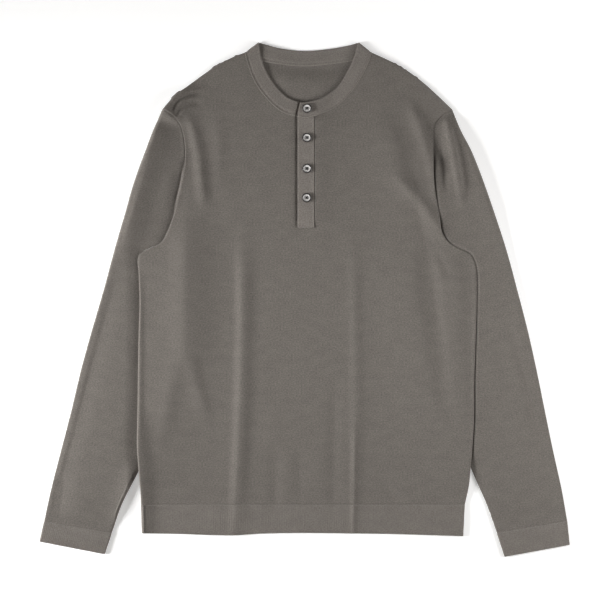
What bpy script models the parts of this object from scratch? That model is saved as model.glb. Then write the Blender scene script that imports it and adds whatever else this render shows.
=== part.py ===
"""Long-sleeved henley sweater in fine knit, laid flat on its back.

Lengths are in millimetres and become metres when a mesh is made. X runs across
the sweater, Y runs from the hem to the collar, and Z runs up from the floor.
Every cloth piece is a wall around a middle surface. Left and right are as seen
from above, with the collar away from the viewer.
"""
import math

import bmesh
import bpy
import numpy as np
from mathutils import Vector
from mathutils.geometry import tessellate_polygon

MM = 0.001

# Cloth
CLOTH = 1.5            # wall of the jersey panels and sleeves
BAND = 2.0             # wall of the doubled bands and the upper placket
SEAM_GAP = 0.35        # clear distance between pieces at a seam
SEAM_REACH = CLOTH / 2 - SEAM_GAP   # how far a neighbour reaches over a seam line
SIDE_STEP = 36.0       # longest stretch between rows of a table of both sides
NECK_STEP = 40.0       # the same for sections across the neckband
SLEEVE_STEP = 20.0     # the same along one edge of a sleeve
HEM_STEP = 20.0        # the same along the hem band
EDGE_STEPS = 2         # cells round the quarter turn of a folded edge

# Heights of the middle surfaces above the floor
BACK_LEVEL = CLOTH / 2
FRONT_RISE = 1.9       # from the back layer to the front layer
SLEEVE_STACK = 3.8     # what a body panel gains where it lies on a sleeve
BAND_BACK_LEVEL = BAND / 2
BAND_FRONT_LEVEL = 3.4
NECK_LEVEL = 5.0       # front half of the neckband
NECK_LAP = BAND + SEAM_GAP          # upper end of the neckband over the under end
NECK_SKEW = 1.6        # how far the band's fold lies askew to its seam, above and below

# Body outline: height, left edge, right edge
BODY_SIDES = (
    (-302.2, -238.0, 235.1),
    (-273.8, -239.7, 240.8),
    (-250.4, -241.5, 242.9),
    (-212.4, -244.0, 246.2),
    (-177.4, -243.4, 248.2),
    (-119.0, -242.5, 248.6),
    (-53.3, -241.5, 251.0),
    (-2.2, -240.0, 252.4),
    (40.1, -241.6, 252.4),
    (55.0, -242.1, 249.1),
    (65.0, -239.0, 243.5),
    (72.3, -225.6, 228.5),
    (82.5, -208.0, 210.7),
    (98.5, -199.0, 200.9),
    (120.5, -190.8, 198.4),
    (152.6, -182.2, 191.1),
    (178.8, -176.8, 186.2),
    (206.0, -173.9, 185.7),
    (231.4, -175.2, 187.9),
    (251.1, -180.0, 191.1),
    (266.0, -190.4, 200.8),
    (276.2, -206.7, 216.8),
)
LAST_OPEN_ROW = 152.6  # below this height the sleeve runs beneath the body
FOLDED_BELOW = 120.5   # below this height the side edges are folded edges

# Shoulder line: height, left, right
SHOULDERS = (
    (276.2, -206.7, 216.8),
    (297.1, -189.8, 194.9),
    (311.7, -170.8, 178.9),
    (326.3, -150.4, 160.6),
    (340.9, -128.5, 138.0),
    (352.8, -104.0, 113.9),
    (359.9, -85.6, 98.1),
)

# Sections across the front of the neckband: seam x, seam y, free edge x, free edge y
NECK_FRONT = (
    (-85.6, 359.9, -66.4, 374.5),
    (-81.8, 345.3, -62.0, 351.0),
    (-72.6, 320.5, -53.6, 329.4),
    (-58.4, 298.6, -41.3, 310.2),
    (-33.6, 275.2, -23.4, 293.6),
    (-8.8, 266.5, -5.1, 287.2),
    (2.9, 265.0, 2.9, 286.9),
    (14.6, 267.2, 13.1, 288.6),
    (30.7, 273.0, 23.1, 291.7),
    (46.7, 281.0, 35.8, 298.6),
    (66.4, 300.0, 50.5, 311.0),
    (81.0, 320.5, 62.2, 329.2),
    (93.4, 345.3, 72.3, 350.4),
    (98.1, 359.9, 80.0, 374.5),
)
NECK_BACK = (
    (-85.6, 359.9, -66.4, 374.5),
    (-70.0, 351.0, -55.0, 371.0),
    (-40.0, 344.5, -34.0, 365.5),
    (1.0, 341.0, 1.0, 362.0),
    (42.0, 344.5, 37.0, 365.0),
    (77.0, 350.5, 65.0, 370.0),
    (98.1, 359.9, 80.0, 374.5),
)

# Placket: left edge, right edge and foot of the upper strip, and the lap of
# that strip over the slot in the front panel
PLACKET_LEFT = -9.0
PLACKET_RIGHT = 15.0
PLACKET_FOOT = 103.4
PLACKET_LAP = 2.2

# Hidden inner edge of the sleeves beneath the body: height, left, right
SLEEVE_HIDDEN = (
    (217.0, -171.0, 171.0),
    (118.0, -177.0, 186.0),
    (78.0, -181.0, 185.0),
    (-2.0, -184.0, 188.0),
    (-61.0, -187.0, 194.0),
    (-126.0, -201.0, 213.0),
    (-192.0, -220.0, 232.0),
    (-242.0, -237.0, 242.0),
)
# Inner edge of the sleeves where it shows
SLEEVE_INNER = (
    (-253.0, -242.0, 246.0),
    (-301.0, -266.0, 267.0),
    (-343.0, -281.0, 282.0),
)
SLEEVE_OUTER = (
    (276.2, -206.7, 216.8),
    (246.0, -220.0, 229.0),
    (217.0, -231.0, 244.0),
    (188.0, -242.0, 256.0),
    (158.0, -252.0, 267.0),
    (129.0, -260.0, 277.0),
    (71.0, -277.0, 296.0),
    (12.0, -293.0, 312.0),
    (-46.0, -310.0, 327.0),
    (-104.0, -326.0, 340.0),
    (-163.0, -340.0, 352.0),
    (-221.0, -355.0, 364.0),
    (-280.0, -370.0, 377.0),
    (-325.5, -380.0, 385.0),
)
# Cuff corners on each side: outer x, outer y, inner x, inner y
CUFF_LEFT = (
    (-380.0, -325.5, -281.0, -343.0),
    (-386.5, -355.0, -291.0, -373.5),
)
CUFF_RIGHT = (
    (385.0, -325.5, 282.0, -343.0),
    (388.5, -359.7, 293.0, -377.3),
)
# Foot of the hem band: x, height
HEM_FOOT = (
    (-236.8, -342.5),
    (-181.0, -343.8),
    (-106.0, -345.8),
    (-60.0, -343.2),
    (89.0, -343.2),
    (169.0, -345.0),
    (232.9, -347.3),
)

# Where the body panels come down from the sleeves
COVER = 15.0           # level cloth past the sleeve's hidden edge
RAMP = 27.0            # width of the slope after it
LIFT_TOP = (158.0, 231.0)
LIFT_FOOT = (-295.6, -260.6)

# Loft of the front layer
NECK_CENTRE = (5.8, 362.8)
NECK_RADIUS = 93.0
NECK_LOFT = 1.95
NECK_FADE = (3.0, 75.0)
HEM_LOFT = 0.75
HEM_FADE = (-302.0, -262.0)
# Largest folds of the front panel: start x, start y, end x, end y, height, half width
BODY_FOLDS = (
    (-103.0, 130.0, -106.0, -350.0, 2.6, 9.0),
    (67.0, 135.0, 67.0, -345.0, 1.8, 8.0),
    (-163.0, 235.0, -152.0, 135.0, 1.8, 9.0),
    (132.0, 160.0, 192.0, 100.0, 2.0, 9.0),
    (-20.0, -215.0, -20.0, -285.0, 1.2, 12.0),
    (120.0, -225.0, 135.0, -285.0, 1.2, 12.0),
)
# Loft and largest folds of the sleeves
SLEEVE_LOFT = 2.2
SLEEVE_CLEAR = (20.0, 55.0)        # distances from the body's edge where the loft starts and is full
SLEEVE_FOLDS = (
    (205.0, 262.0, 224.0, 195.0, 1.0, 7.0),
    (330.0, -60.0, 345.0, -200.0, 0.7, 10.0),
    (-318.0, -40.0, -335.0, -190.0, 0.7, 10.0),
)
SLEEVE_STATIONS = 22

# Buttons: x, height, and the sizes of one button
BUTTONS = (
    (4.2, 277.1),
    (4.2, 234.5),
    (4.2, 189.5),
    (3.8, 146.9),
)
BUTTON_RADIUS = 6.9
BUTTON_THICK = 2.6
BUTTON_DISH_RADIUS = 4.3
BUTTON_DISH_DEPTH = 0.8
BUTTON_EDGE = 0.5
BUTTON_HOLE = 0.85
BUTTON_HOLE_PITCH = 1.55
BUTTON_SIDES = 20
HOLE_SIDES = 8

# Colours in linear light
JERSEY = (0.162, 0.147, 0.133)
RIB = (0.180, 0.164, 0.149)
SHELL = (0.62, 0.60, 0.57)


def smooth(low, high, value):
    """Rise from 0 at low to 1 at high, level at both ends."""
    t = np.clip((value - low) / (high - low), 0.0, 1.0)
    return t * t * (3.0 - 2.0 * t)


def refine(rows, step):
    """Fill a table of points along a smooth curve, with cells no longer than step."""
    rows = np.asarray(rows, float)
    chords = np.diff(rows, axis=0)
    lengths = np.linalg.norm(chords, axis=1)
    heading = chords / lengths[:, None]
    turn = np.vstack((heading[:1], heading[1:] + heading[:-1], heading[-1:]))
    turn /= np.linalg.norm(turn, axis=1)[:, None]
    points = []
    for i, length in enumerate(lengths):
        t = np.linspace(0.0, 1.0, math.ceil(length / step) + 1)[:-1, None]
        points.append(rows[i] * (2 * t**3 - 3 * t**2 + 1) + rows[i + 1] * (3 * t**2 - 2 * t**3)
                      + length * (turn[i] * (t**3 - 2 * t**2 + t) + turn[i + 1] * (t**3 - t**2)))
    return np.vstack(points + [rows[-1:]])


def both_sides(table, step):
    """Left and right plan curves of a table with the columns height, left, right."""
    rows = refine(table, step)
    return rows[:, (1, 0)], rows[:, (2, 0)]


def spread(curve, shares):
    """Points of a polyline at the given shares of its length."""
    travel = np.concatenate(([0.0], np.cumsum(np.linalg.norm(np.diff(curve, axis=0), axis=1))))
    return np.column_stack([np.interp(shares * travel[-1], travel, axis) for axis in curve.T])


def distance_to(curve, x, y):
    """Shortest plan distance from points to a polyline."""
    place = np.stack((x, y), axis=-1)[..., None, :]
    start, side = curve[:-1], np.diff(curve, axis=0)
    share = np.clip(np.sum((place - start) * side, axis=-1) / np.sum(side * side, axis=-1), 0.0, 1.0)
    return np.min(np.linalg.norm(place - start - share[..., None] * side, axis=-1), axis=-1)


def fold_relief(table, x, y):
    """Height of straight soft folds, each fading at its two ends."""
    total = np.zeros_like(x)
    for x0, y0, x1, y1, height, width in table:
        length = math.hypot(x1 - x0, y1 - y0)
        along = ((x - x0) * (x1 - x0) + (y - y0) * (y1 - y0)) / length**2
        across = ((x - x0) * (y1 - y0) - (y - y0) * (x1 - x0)) / length
        ends = smooth(0.0, 0.25, along) * (1.0 - smooth(0.8, 1.0, along))
        total += height * ends * np.exp(-(across / width)**2)
    return total


def lift(x, y):
    """What both body layers gain over the sleeves, with slopes down to the floor."""
    height, left, right = np.array(SLEEVE_HIDDEN[::-1]).T
    left_reach = np.interp(y, height, left) + COVER
    right_reach = np.interp(y, height, right) - COVER
    over = np.maximum(1.0 - smooth(left_reach, left_reach + RAMP, x),
                      smooth(right_reach - RAMP, right_reach, x))
    return SLEEVE_STACK * over * smooth(*LIFT_FOOT, y) * (1.0 - smooth(*LIFT_TOP, y))


def back_level(x, y):
    """Middle height of the back panel."""
    return BACK_LEVEL + lift(x, y)


def front_level(x, y):
    """Middle height of the front panel: over the back panel, with its loft and folds."""
    from_neck = np.hypot(x - NECK_CENTRE[0], y - NECK_CENTRE[1]) - NECK_RADIUS
    loft = NECK_LOFT * (1.0 - smooth(*NECK_FADE, from_neck)) + HEM_LOFT * (1.0 - smooth(*HEM_FADE, y))
    return back_level(x, y) + FRONT_RISE + loft + fold_relief(BODY_FOLDS, x, y)


def make_material(name, colour, roughness):
    """Plain material with one colour."""
    material = bpy.data.materials.new(name)
    material.use_nodes = True
    shader = material.node_tree.nodes["Principled BSDF"]
    shader.inputs["Base Color"].default_value = (*colour, 1.0)
    shader.inputs["Roughness"].default_value = roughness
    shader.inputs["Metallic"].default_value = 0.0
    return material


def add_object(name, points, faces, colour, roughness=0.9):
    """One closed body from its points in millimetres and its faces."""
    mesh = bpy.data.meshes.new(name)
    mesh.from_pydata((np.asarray(points) * MM).tolist(), [], [list(map(int, face)) for face in faces])
    work = bmesh.new()
    work.from_mesh(mesh)
    bmesh.ops.recalc_face_normals(work, faces=work.faces)
    work.to_mesh(mesh)
    work.free()
    mesh.shade_smooth()
    mesh.set_sharp_from_angle(angle=math.radians(40))
    mesh.materials.append(make_material(name, colour, roughness))
    piece = bpy.data.objects.new(name, mesh)
    bpy.context.scene.collection.objects.link(piece)
    return piece


def edge_angles():
    """Angles round a folded edge, from level with its middle to the top of the turn."""
    return np.linspace(0.0, math.pi / 2, EDGE_STEPS + 1)


def body_plan(neckline):
    """Grid over a body panel: rows go up the sides, columns go up to the shoulders and neck.

    Each column runs straight from the hem to the top edge, and the rows take up the
    slope of the shoulders near the top. Near the sides the rows are shifted so that
    the first and last columns follow the side curves.
    """
    left, right = both_sides(BODY_SIDES, SIDE_STEP)
    left_shoulder, right_shoulder = both_sides(SHOULDERS, SIDE_STEP)
    top = np.vstack((left_shoulder[:-1], neckline, right_shoulder[-2::-1]))
    straight = (-130.0, 133.0)
    foot_x = np.interp(top[:, 0], (top[0, 0], *straight, top[-1, 0]), (left[0, 0], *straight, right[0, 0]))
    foot_y, tip_y = left[0, 1], left[-1, 1]
    up = ((left[:, 1] - foot_y) / (tip_y - foot_y))[:, None]
    plan = np.stack((foot_x + up * (top[:, 0] - foot_x),
                     foot_y + up * (tip_y - foot_y) + up**4 * (top[:, 1] - tip_y)), axis=-1)
    pull = 110.0
    left_share = np.clip(1.0 - (top[:, 0] - top[0, 0]) / pull, 0.0, 1.0)[None, :, None] ** 2
    right_share = np.clip(1.0 - (top[-1, 0] - top[:, 0]) / pull, 0.0, 1.0)[None, :, None] ** 2
    shift_left = left[:, None] - plan[:, :1]
    shift_right = right[:, None] - plan[:, -1:]
    return plan + left_share * shift_left + right_share * shift_right


def border_of(plan):
    """Row and column numbers round the border of a grid, up the left side first."""
    last_row, last_column = plan.shape[0] - 1, plan.shape[1] - 1
    up = [(j, 0) for j in range(last_row)]
    across = [(last_row, i) for i in range(last_column)]
    down = [(j, last_column) for j in range(last_row, 0, -1)]
    home = [(0, i) for i in range(last_column, 0, -1)]
    return np.array(up + across + down + home)


def outward_normals(loop):
    """Outward plan normals of the sides before and after each point of a clockwise loop."""
    heading = np.roll(loop, -1, axis=0) - loop
    heading /= np.linalg.norm(heading, axis=1)[:, None]
    after = np.column_stack((-heading[:, 1], heading[:, 0]))
    return np.roll(after, 1, axis=0), after


def inward_offset(loop):
    """Vector that moves each corner so that both of its sides go in by one millimetre."""
    before, after = outward_normals(loop)
    return -(before + after) / (1.0 + np.sum(before * after, axis=1))[:, None]


def body_panel(name, neckline, level, other_level):
    """Body panel: its folded edges turn halfway to the other panel, its seam edges are cut."""
    plan = body_plan(neckline)
    cells = border_of(plan)
    loop = plan[cells[:, 0], cells[:, 1]]
    inward = inward_offset(loop)
    top_row = plan.shape[0] - 1
    on_side = (cells[:, 1] == 0) | (cells[:, 1] == plan.shape[1] - 1)
    on_shoulder = (cells[:, 0] == top_row) & ((loop[:, 0] <= neckline[0, 0]) | (loop[:, 0] >= neckline[-1, 0]))
    folded = np.where(on_side, 1.0 - smooth(FOLDED_BELOW, LAST_OPEN_ROW, loop[:, 1]), 0.0)
    folded = np.where(on_shoulder, 1.0, folded)
    before, after = outward_normals(loop)
    outward = (before * (np.roll(folded, 1) + 1e-6)[:, None] + after * (np.roll(folded, -1) + 1e-6)[:, None])
    outward /= np.linalg.norm(outward, axis=1)[:, None]

    side = np.sign(level(*loop.T) - other_level(*loop.T))[:, None]
    rings = []
    normals = []
    for angle in edge_angles():
        radius = np.abs(level(*loop.T) - other_level(*loop.T)) / 2
        place = loop + inward * (CLOTH / 2 + radius * (1.0 - math.cos(angle)))[:, None]
        middle = (level(*place.T) + other_level(*place.T)) / 2
        gap = SEAM_GAP / 2 / radius
        turn = folded * (1.0 - gap) * (1.0 - math.sin(angle))
        height = middle + (level(*place.T) - middle) * (1.0 - turn)
        rings.append(np.column_stack((place, height)))
        tilt = np.column_stack((outward * math.cos(angle) * folded[:, None],
                                side * (1.0 - folded * (1.0 - math.sin(angle)))[:, None]))
        normals.append(tilt / np.linalg.norm(tilt, axis=1)[:, None])

    rows, columns = plan.shape[:2]
    number = np.zeros((rows, columns), int)
    count = len(loop)
    number[cells[:, 0], cells[:, 1]] = EDGE_STEPS * count + np.arange(count)
    inner = plan[1:-1, 1:-1].reshape(-1, 2)
    number[1:-1, 1:-1] = (EDGE_STEPS + 1) * count + np.arange(len(inner)).reshape(rows - 2, columns - 2)
    middle = np.vstack(rings + [np.column_stack((inner, level(*inner.T)))])
    normal = np.vstack(normals + [np.tile((0.0, 0.0, side[0, 0]), (len(inner), 1))])

    faces = [(number[j, i], number[j, i + 1], number[j + 1, i + 1], number[j + 1, i])
             for j in range(rows - 1) for i in range(columns - 1)]
    for ring in range(EDGE_STEPS):
        for k in range(count):
            after_k = (k + 1) % count
            faces.append((ring * count + k, (ring + 1) * count + k,
                          (ring + 1) * count + after_k, ring * count + after_k))
    shift = len(middle)
    shell = faces + [tuple(shift + v for v in reversed(face)) for face in faces]
    shell += [(k, (k + 1) % count, shift + (k + 1) % count, shift + k) for k in range(count)]
    points = np.vstack((middle + normal * CLOTH / 2, middle - normal * CLOTH / 2))
    return add_object(name, points, shell, JERSEY)


def flat_tube(name, plan, front, back, wall, colour):
    """Tube pressed flat: rows of the plan are its stations, columns go from edge to edge.

    front and back give the middle heights of the two layers at a plan position.
    """
    turns = edge_angles()
    rings = []
    normals = []
    first = plan[:, 1] - plan[:, 0]
    last = plan[:, -2] - plan[:, -1]
    first /= np.linalg.norm(first, axis=1)[:, None]
    last /= np.linalg.norm(last, axis=1)[:, None]

    def add(place, height, normal):
        rings.append(np.column_stack((place, height)))
        normals.append(normal / np.linalg.norm(normal, axis=1)[:, None])

    def add_edge(edge, inward, angles):
        radius = (front(*edge.T) - back(*edge.T)) / 2
        middle = (front(*edge.T) + back(*edge.T)) / 2
        for angle in angles:
            place = edge + inward * (wall / 2 + radius * (1.0 - math.cos(angle)))[:, None]
            upright = np.full(len(edge), math.sin(angle))
            add(place, middle + radius * math.sin(angle), np.column_stack((-inward * math.cos(angle), upright)))

    def add_layer(columns, level, up):
        for i in columns:
            place = plan[:, i]
            add(place, level(*place.T), np.tile((0.0, 0.0, up), (len(place), 1)))

    inner_columns = range(1, plan.shape[1] - 1)
    add_edge(plan[:, 0], first, turns)
    add_layer(inner_columns, front, 1.0)
    add_edge(plan[:, -1], last, turns[::-1])
    add_edge(plan[:, -1], last, -turns[1:])
    add_layer(reversed(inner_columns), back, -1.0)
    add_edge(plan[:, 0], first, -turns[:0:-1])

    middle = np.stack(rings, axis=1)
    normal = np.stack(normals, axis=1)
    stations, around = middle.shape[:2]
    shift = stations * around
    number = np.arange(shift).reshape(stations, around)
    beside = np.roll(number, -1, axis=1)
    skin = np.stack((number[:-1], beside[:-1], beside[1:], number[1:]), axis=-1).reshape(-1, 4)
    start = np.stack((number[0], beside[0], beside[0] + shift, number[0] + shift), axis=-1)
    end = np.stack((number[-1], beside[-1], beside[-1] + shift, number[-1] + shift), axis=-1)
    faces = np.vstack((skin, skin[:, ::-1] + shift, start, end[:, ::-1]))
    points = np.vstack(((middle + normal * wall / 2).reshape(-1, 3), (middle - normal * wall / 2).reshape(-1, 3)))
    return add_object(name, points, faces, colour)


def strip(name, middle, normal, wall, colour):
    """Solid strip around a grid of middle points with their unit normals."""
    rows, columns = middle.shape[:2]
    shift = rows * columns
    number = np.arange(shift).reshape(rows, columns)
    skin = np.stack((number[:-1, :-1], number[:-1, 1:], number[1:, 1:], number[1:, :-1]), axis=-1).reshape(-1, 4)
    rim = np.concatenate((number[:-1, 0], number[-1, :-1], number[:0:-1, -1], number[0, :0:-1]))
    after = np.roll(rim, -1)
    wallside = np.stack((rim, after, after + shift, rim + shift), axis=-1)
    faces = np.vstack((skin, skin[:, ::-1] + shift, wallside))
    points = np.vstack(((middle + normal * wall / 2).reshape(-1, 3), (middle - normal * wall / 2).reshape(-1, 3)))
    return add_object(name, points, faces, colour)


def sleeve(name, side, front_plan):
    """Sleeve from the armhole seam to the cuff, its lower part beneath the body."""
    column = 1 if side < 0 else 2
    cells = border_of(front_plan)
    loop = front_plan[cells[:, 0], cells[:, 1]]
    moved = loop + inward_offset(loop) * SEAM_REACH
    on_side = cells[:, 1] == (0 if side < 0 else front_plan.shape[1] - 1)
    armhole = moved[on_side & (loop[:, 1] >= LAST_OPEN_ROW - 0.1)]
    armhole = armhole[np.argsort(-armhole[:, 1])]
    tail = np.array([(row[column], row[0]) for row in SLEEVE_HIDDEN[1:3]])
    start = np.vstack((armhole, tail))
    cuff = CUFF_LEFT if side < 0 else CUFF_RIGHT
    outer_end = np.array(cuff[0][:2]) + (0.0, SEAM_GAP / 2)
    inner_end = np.array(cuff[0][2:]) + (0.0, SEAM_GAP / 2)
    outer = refine([(row[column], row[0]) for row in SLEEVE_OUTER], SLEEVE_STEP)
    inner = refine([(row[column], row[0]) for row in SLEEVE_HIDDEN[2:] + SLEEVE_INNER], SLEEVE_STEP)
    outer[0], outer[-1] = start[0], outer_end
    inner[0], inner[-1] = start[-1], inner_end

    travel = np.concatenate(([0.0], np.cumsum(np.linalg.norm(np.diff(start, axis=0), axis=1))))
    t = (travel / travel[-1])[None, :, None]
    stations = np.linspace(0.0, 1.0, SLEEVE_STATIONS)
    s = stations[:, None, None]
    outer = spread(outer, stations)[:, None]
    inner = spread(inner, stations)[:, None]
    cuff_line = outer_end + (inner_end - outer_end) * t
    corners = (1 - s) * ((1 - t) * start[0] + t * start[-1]) + s * cuff_line
    plan = (1 - s) * start[None] + s * cuff_line + (1 - t) * outer + t * inner - corners

    body_edge = np.array([(row[column], row[0]) for row in BODY_SIDES])
    middle_line = (outer[:, 0] + inner[:, 0]) / 2
    half_width = np.linalg.norm(outer[:, 0] - inner[:, 0], axis=1) / 2
    order = np.argsort(middle_line[:, 1])

    def front(x, y):
        beyond = np.sign(side * (x - np.interp(y, *body_edge[:, ::-1].T)))
        clear = distance_to(body_edge, x, y) * beyond
        centre = np.interp(y, middle_line[order, 1], middle_line[order, 0])
        width = np.interp(y, middle_line[order, 1], half_width[order])
        crown = np.clip(1.0 - ((x - centre) / width)**2, 0.0, 1.0)
        rise = (SLEEVE_LOFT * crown + fold_relief(SLEEVE_FOLDS, x, y)) * smooth(*SLEEVE_CLEAR, clear)
        cuff_rise = (BAND_FRONT_LEVEL - BACK_LEVEL - FRONT_RISE) * (1.0 - smooth(-330.0, -270.0, y))
        return BACK_LEVEL + FRONT_RISE + np.maximum(rise * smooth(-345.0, -300.0, y), cuff_rise)

    def back(x, y):
        return np.full_like(x, BACK_LEVEL)

    return flat_tube(name, plan, front, back, CLOTH, JERSEY)


def band_front(x, y):
    """Front layer of a cuff or of the hem band, where the body's folds run out."""
    return BAND_FRONT_LEVEL + fold_relief(BODY_FOLDS, x, y)


def band_back(x, y):
    """Back layer of a cuff or of the hem band."""
    return np.full_like(x, BAND_BACK_LEVEL)


def cuff(name, corners):
    """Cuff: a flat tube between the sleeve seam and the cuff's foot."""
    corners = np.array(corners)
    top = corners[0] - (0.0, SEAM_GAP / 2, 0.0, SEAM_GAP / 2)
    t = np.linspace(0.0, 1.0, 9)[None, :, None]
    s = np.linspace(0.0, 1.0, 4)[:, None, None]
    outer = top[:2] + (corners[1][:2] - top[:2]) * s
    inner = top[2:] + (corners[1][2:] - top[2:]) * s
    return flat_tube(name, outer + (inner - outer) * t, band_front, band_back, BAND, RIB)


def hem_band():
    """Hem band: a flat tube between the hem seam and the sweater's foot."""
    foot = refine(HEM_FOOT, HEM_STEP)
    seam_height, seam_left, seam_right = BODY_SIDES[0]
    share = (foot[:, 0] - foot[0, 0]) / (foot[-1, 0] - foot[0, 0])
    seam = np.column_stack((seam_left + (seam_right - seam_left) * share,
                            np.full(len(foot), seam_height + SEAM_REACH)))
    s = np.linspace(0.0, 1.0, 4)[:, None, None]
    return flat_tube("hem_band", seam + (foot - seam) * s, band_front, band_back, BAND, RIB)


def neckband(front_rows, back_rows):
    """Neckband: from its under end round the left, back and right of the neck to its upper end."""
    steps = np.linspace(0.0, 1.0, 4)
    radius = (NECK_LEVEL - BAND_BACK_LEVEL) / 2
    centre_height = (NECK_LEVEL + BAND_BACK_LEVEL) / 2
    sections = []
    normals = []

    def across(row, reach):
        seam, free = row[:2], row[2:]
        seam = seam + (seam - free) / np.linalg.norm(seam - free) * reach
        return seam + (free - seam) * steps[:, None]

    def add_flat(rows, level, up):
        for row in rows:
            place = across(row, SEAM_REACH)
            sections.append(np.column_stack((place, level(*place.T))))
            normals.append(np.tile((0.0, 0.0, up), (len(steps), 1)))

    def add_fold(row, side, angles):
        out = np.array((row[3] - row[1], row[0] - row[2])) * side
        out = out / np.linalg.norm(out)
        for angle in angles:
            place = across(row, NECK_SKEW * math.sin(angle))
            plan = place + out * (radius * (math.cos(angle) - 1.0) - BAND / 2)
            sections.append(np.column_stack((plan, np.full(len(steps), centre_height + radius * math.sin(angle)))))
            normals.append(np.tile((*(out * math.cos(angle)), math.sin(angle)), (len(steps), 1)))

    def under(x, y):
        return np.full_like(x, NECK_LEVEL)

    def over(x, y):
        return NECK_LEVEL + NECK_LAP * (1.0 - smooth(20.0, 52.0, x))

    def lying(x, y):
        return np.full_like(x, BAND_BACK_LEVEL)

    turns = np.linspace(math.pi / 2, -math.pi / 2, 7)
    left = front_rows[(front_rows[:, 0] < PLACKET_RIGHT) & (front_rows[:, 0] > front_rows[0, 0])]
    right = front_rows[(front_rows[:, 0] > PLACKET_LEFT) & (front_rows[:, 0] < front_rows[-1, 0])]
    add_flat(left[::-1], under, 1.0)
    add_fold(front_rows[0], -1.0, turns)
    add_flat(back_rows[1:-1], lying, -1.0)
    add_fold(front_rows[-1], 1.0, turns[::-1])
    add_flat(right[::-1], over, 1.0)
    return strip("neckband", np.stack(sections), np.stack(normals), BAND, RIB)


def placket(name, left, right, foot, top, rise, wall, colour):
    """Placket strip over the front panel's own height, moved up by rise."""
    x = np.linspace(left, right, 3)
    top_height = np.interp(x, *top)
    share = np.linspace(0.0, 1.0, 12)[:, None]
    y = foot + (top_height - foot) * share
    x = np.broadcast_to(x, y.shape)
    middle = np.stack((x, y, front_level(x, y) + rise), axis=-1)
    normal = np.broadcast_to((0.0, 0.0, 1.0), middle.shape)
    return strip(name, middle, normal, wall, colour)


def cut_slot(panel, left, right, foot):
    """Cut the placket's slot into the front panel, open at the neckline."""
    low = Vector((left, foot, -1.0)) * MM
    high = Vector((right, NECK_CENTRE[1], 20.0)) * MM
    mesh = bpy.data.meshes.new("slot_cutter")
    work = bmesh.new()
    bmesh.ops.create_cube(work, size=1.0)
    for vertex in work.verts:
        vertex.co = Vector([a + (b - a) * (c + 0.5) for a, b, c in zip(low, high, vertex.co)])
    work.to_mesh(mesh)
    work.free()
    cutter = bpy.data.objects.new("slot_cutter", mesh)
    bpy.context.scene.collection.objects.link(cutter)
    modifier = panel.modifiers.new("slot", "BOOLEAN")
    modifier.operation = "DIFFERENCE"
    modifier.solver = "EXACT"
    modifier.object = cutter
    graph = bpy.context.evaluated_depsgraph_get()
    result = bpy.data.meshes.new_from_object(panel.evaluated_get(graph))
    panel.modifiers.clear()
    panel.data = result
    bpy.data.objects.remove(cutter)


def circle(radius, height, sides, x=0.0, y=0.0):
    """Points of a level circle."""
    angle = np.arange(sides) * 2 * math.pi / sides
    return np.column_stack((x + radius * np.cos(angle), y + radius * np.sin(angle), np.full(sides, height)))


def button(name, x, y, base):
    """Four-hole button with a raised rim round a dished middle."""
    profile = (
        (BUTTON_RADIUS - 1.4, 0.0),
        (BUTTON_RADIUS, BUTTON_THICK * 0.45),
        (BUTTON_RADIUS, BUTTON_THICK - BUTTON_EDGE),
        (BUTTON_RADIUS - BUTTON_EDGE, BUTTON_THICK),
        (BUTTON_DISH_RADIUS + 0.7, BUTTON_THICK),
        (BUTTON_DISH_RADIUS, BUTTON_THICK - BUTTON_DISH_DEPTH),
    )
    centres = [(a * BUTTON_HOLE_PITCH, b * BUTTON_HOLE_PITCH) for a in (-1, 1) for b in (-1, 1)]
    rings = [circle(radius, height, BUTTON_SIDES) for radius, height in profile]
    holes_low = [circle(BUTTON_HOLE, profile[0][1], HOLE_SIDES, *centre) for centre in centres]
    holes_high = [circle(BUTTON_HOLE, profile[-1][1], HOLE_SIDES, *centre) for centre in centres]
    points = np.vstack(rings + holes_low + holes_high)
    faces = []
    for ring in range(len(profile) - 1):
        for k in range(BUTTON_SIDES):
            a = ring * BUTTON_SIDES + k
            b = ring * BUTTON_SIDES + (k + 1) % BUTTON_SIDES
            faces.append((a, b, b + BUTTON_SIDES, a + BUTTON_SIDES))
    low_start = len(profile) * BUTTON_SIDES
    high_start = low_start + len(centres) * HOLE_SIDES
    for hole in range(len(centres)):
        for k in range(HOLE_SIDES):
            a = low_start + hole * HOLE_SIDES + k
            b = low_start + hole * HOLE_SIDES + (k + 1) % HOLE_SIDES
            faces.append((b, a, a + high_start - low_start, b + high_start - low_start))
    for ring_start, holes_start, outline, holes in (
            (0, low_start, rings[0], holes_low),
            ((len(profile) - 1) * BUTTON_SIDES, high_start, rings[-1], holes_high)):
        loops = [outline] + [hole[::-1] for hole in holes]
        numbers = list(range(ring_start, ring_start + BUTTON_SIDES))
        for hole in range(len(holes)):
            first = holes_start + hole * HOLE_SIDES
            numbers += list(range(first + HOLE_SIDES - 1, first - 1, -1))
        for triangle in tessellate_polygon([[Vector(point) for point in loop] for loop in loops]):
            faces.append(tuple(numbers[v] for v in triangle))
    piece = add_object(name, points, faces, SHELL, 0.3)
    piece.location = (x * MM, y * MM, base * MM)
    return piece


for existing in list(bpy.data.objects):
    bpy.data.objects.remove(existing)

front_sections = refine(NECK_FRONT, NECK_STEP)
back_sections = refine(NECK_BACK, NECK_STEP)
front_panel = body_panel("body_front", front_sections[:, :2], front_level, back_level)
body_panel("body_back", back_sections[:, :2], back_level, front_level)
slot_left = PLACKET_LEFT + PLACKET_LAP
slot_right = PLACKET_RIGHT - PLACKET_LAP
slot_foot = PLACKET_FOOT + PLACKET_LAP
cut_slot(front_panel, slot_left, slot_right, slot_foot)

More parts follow.
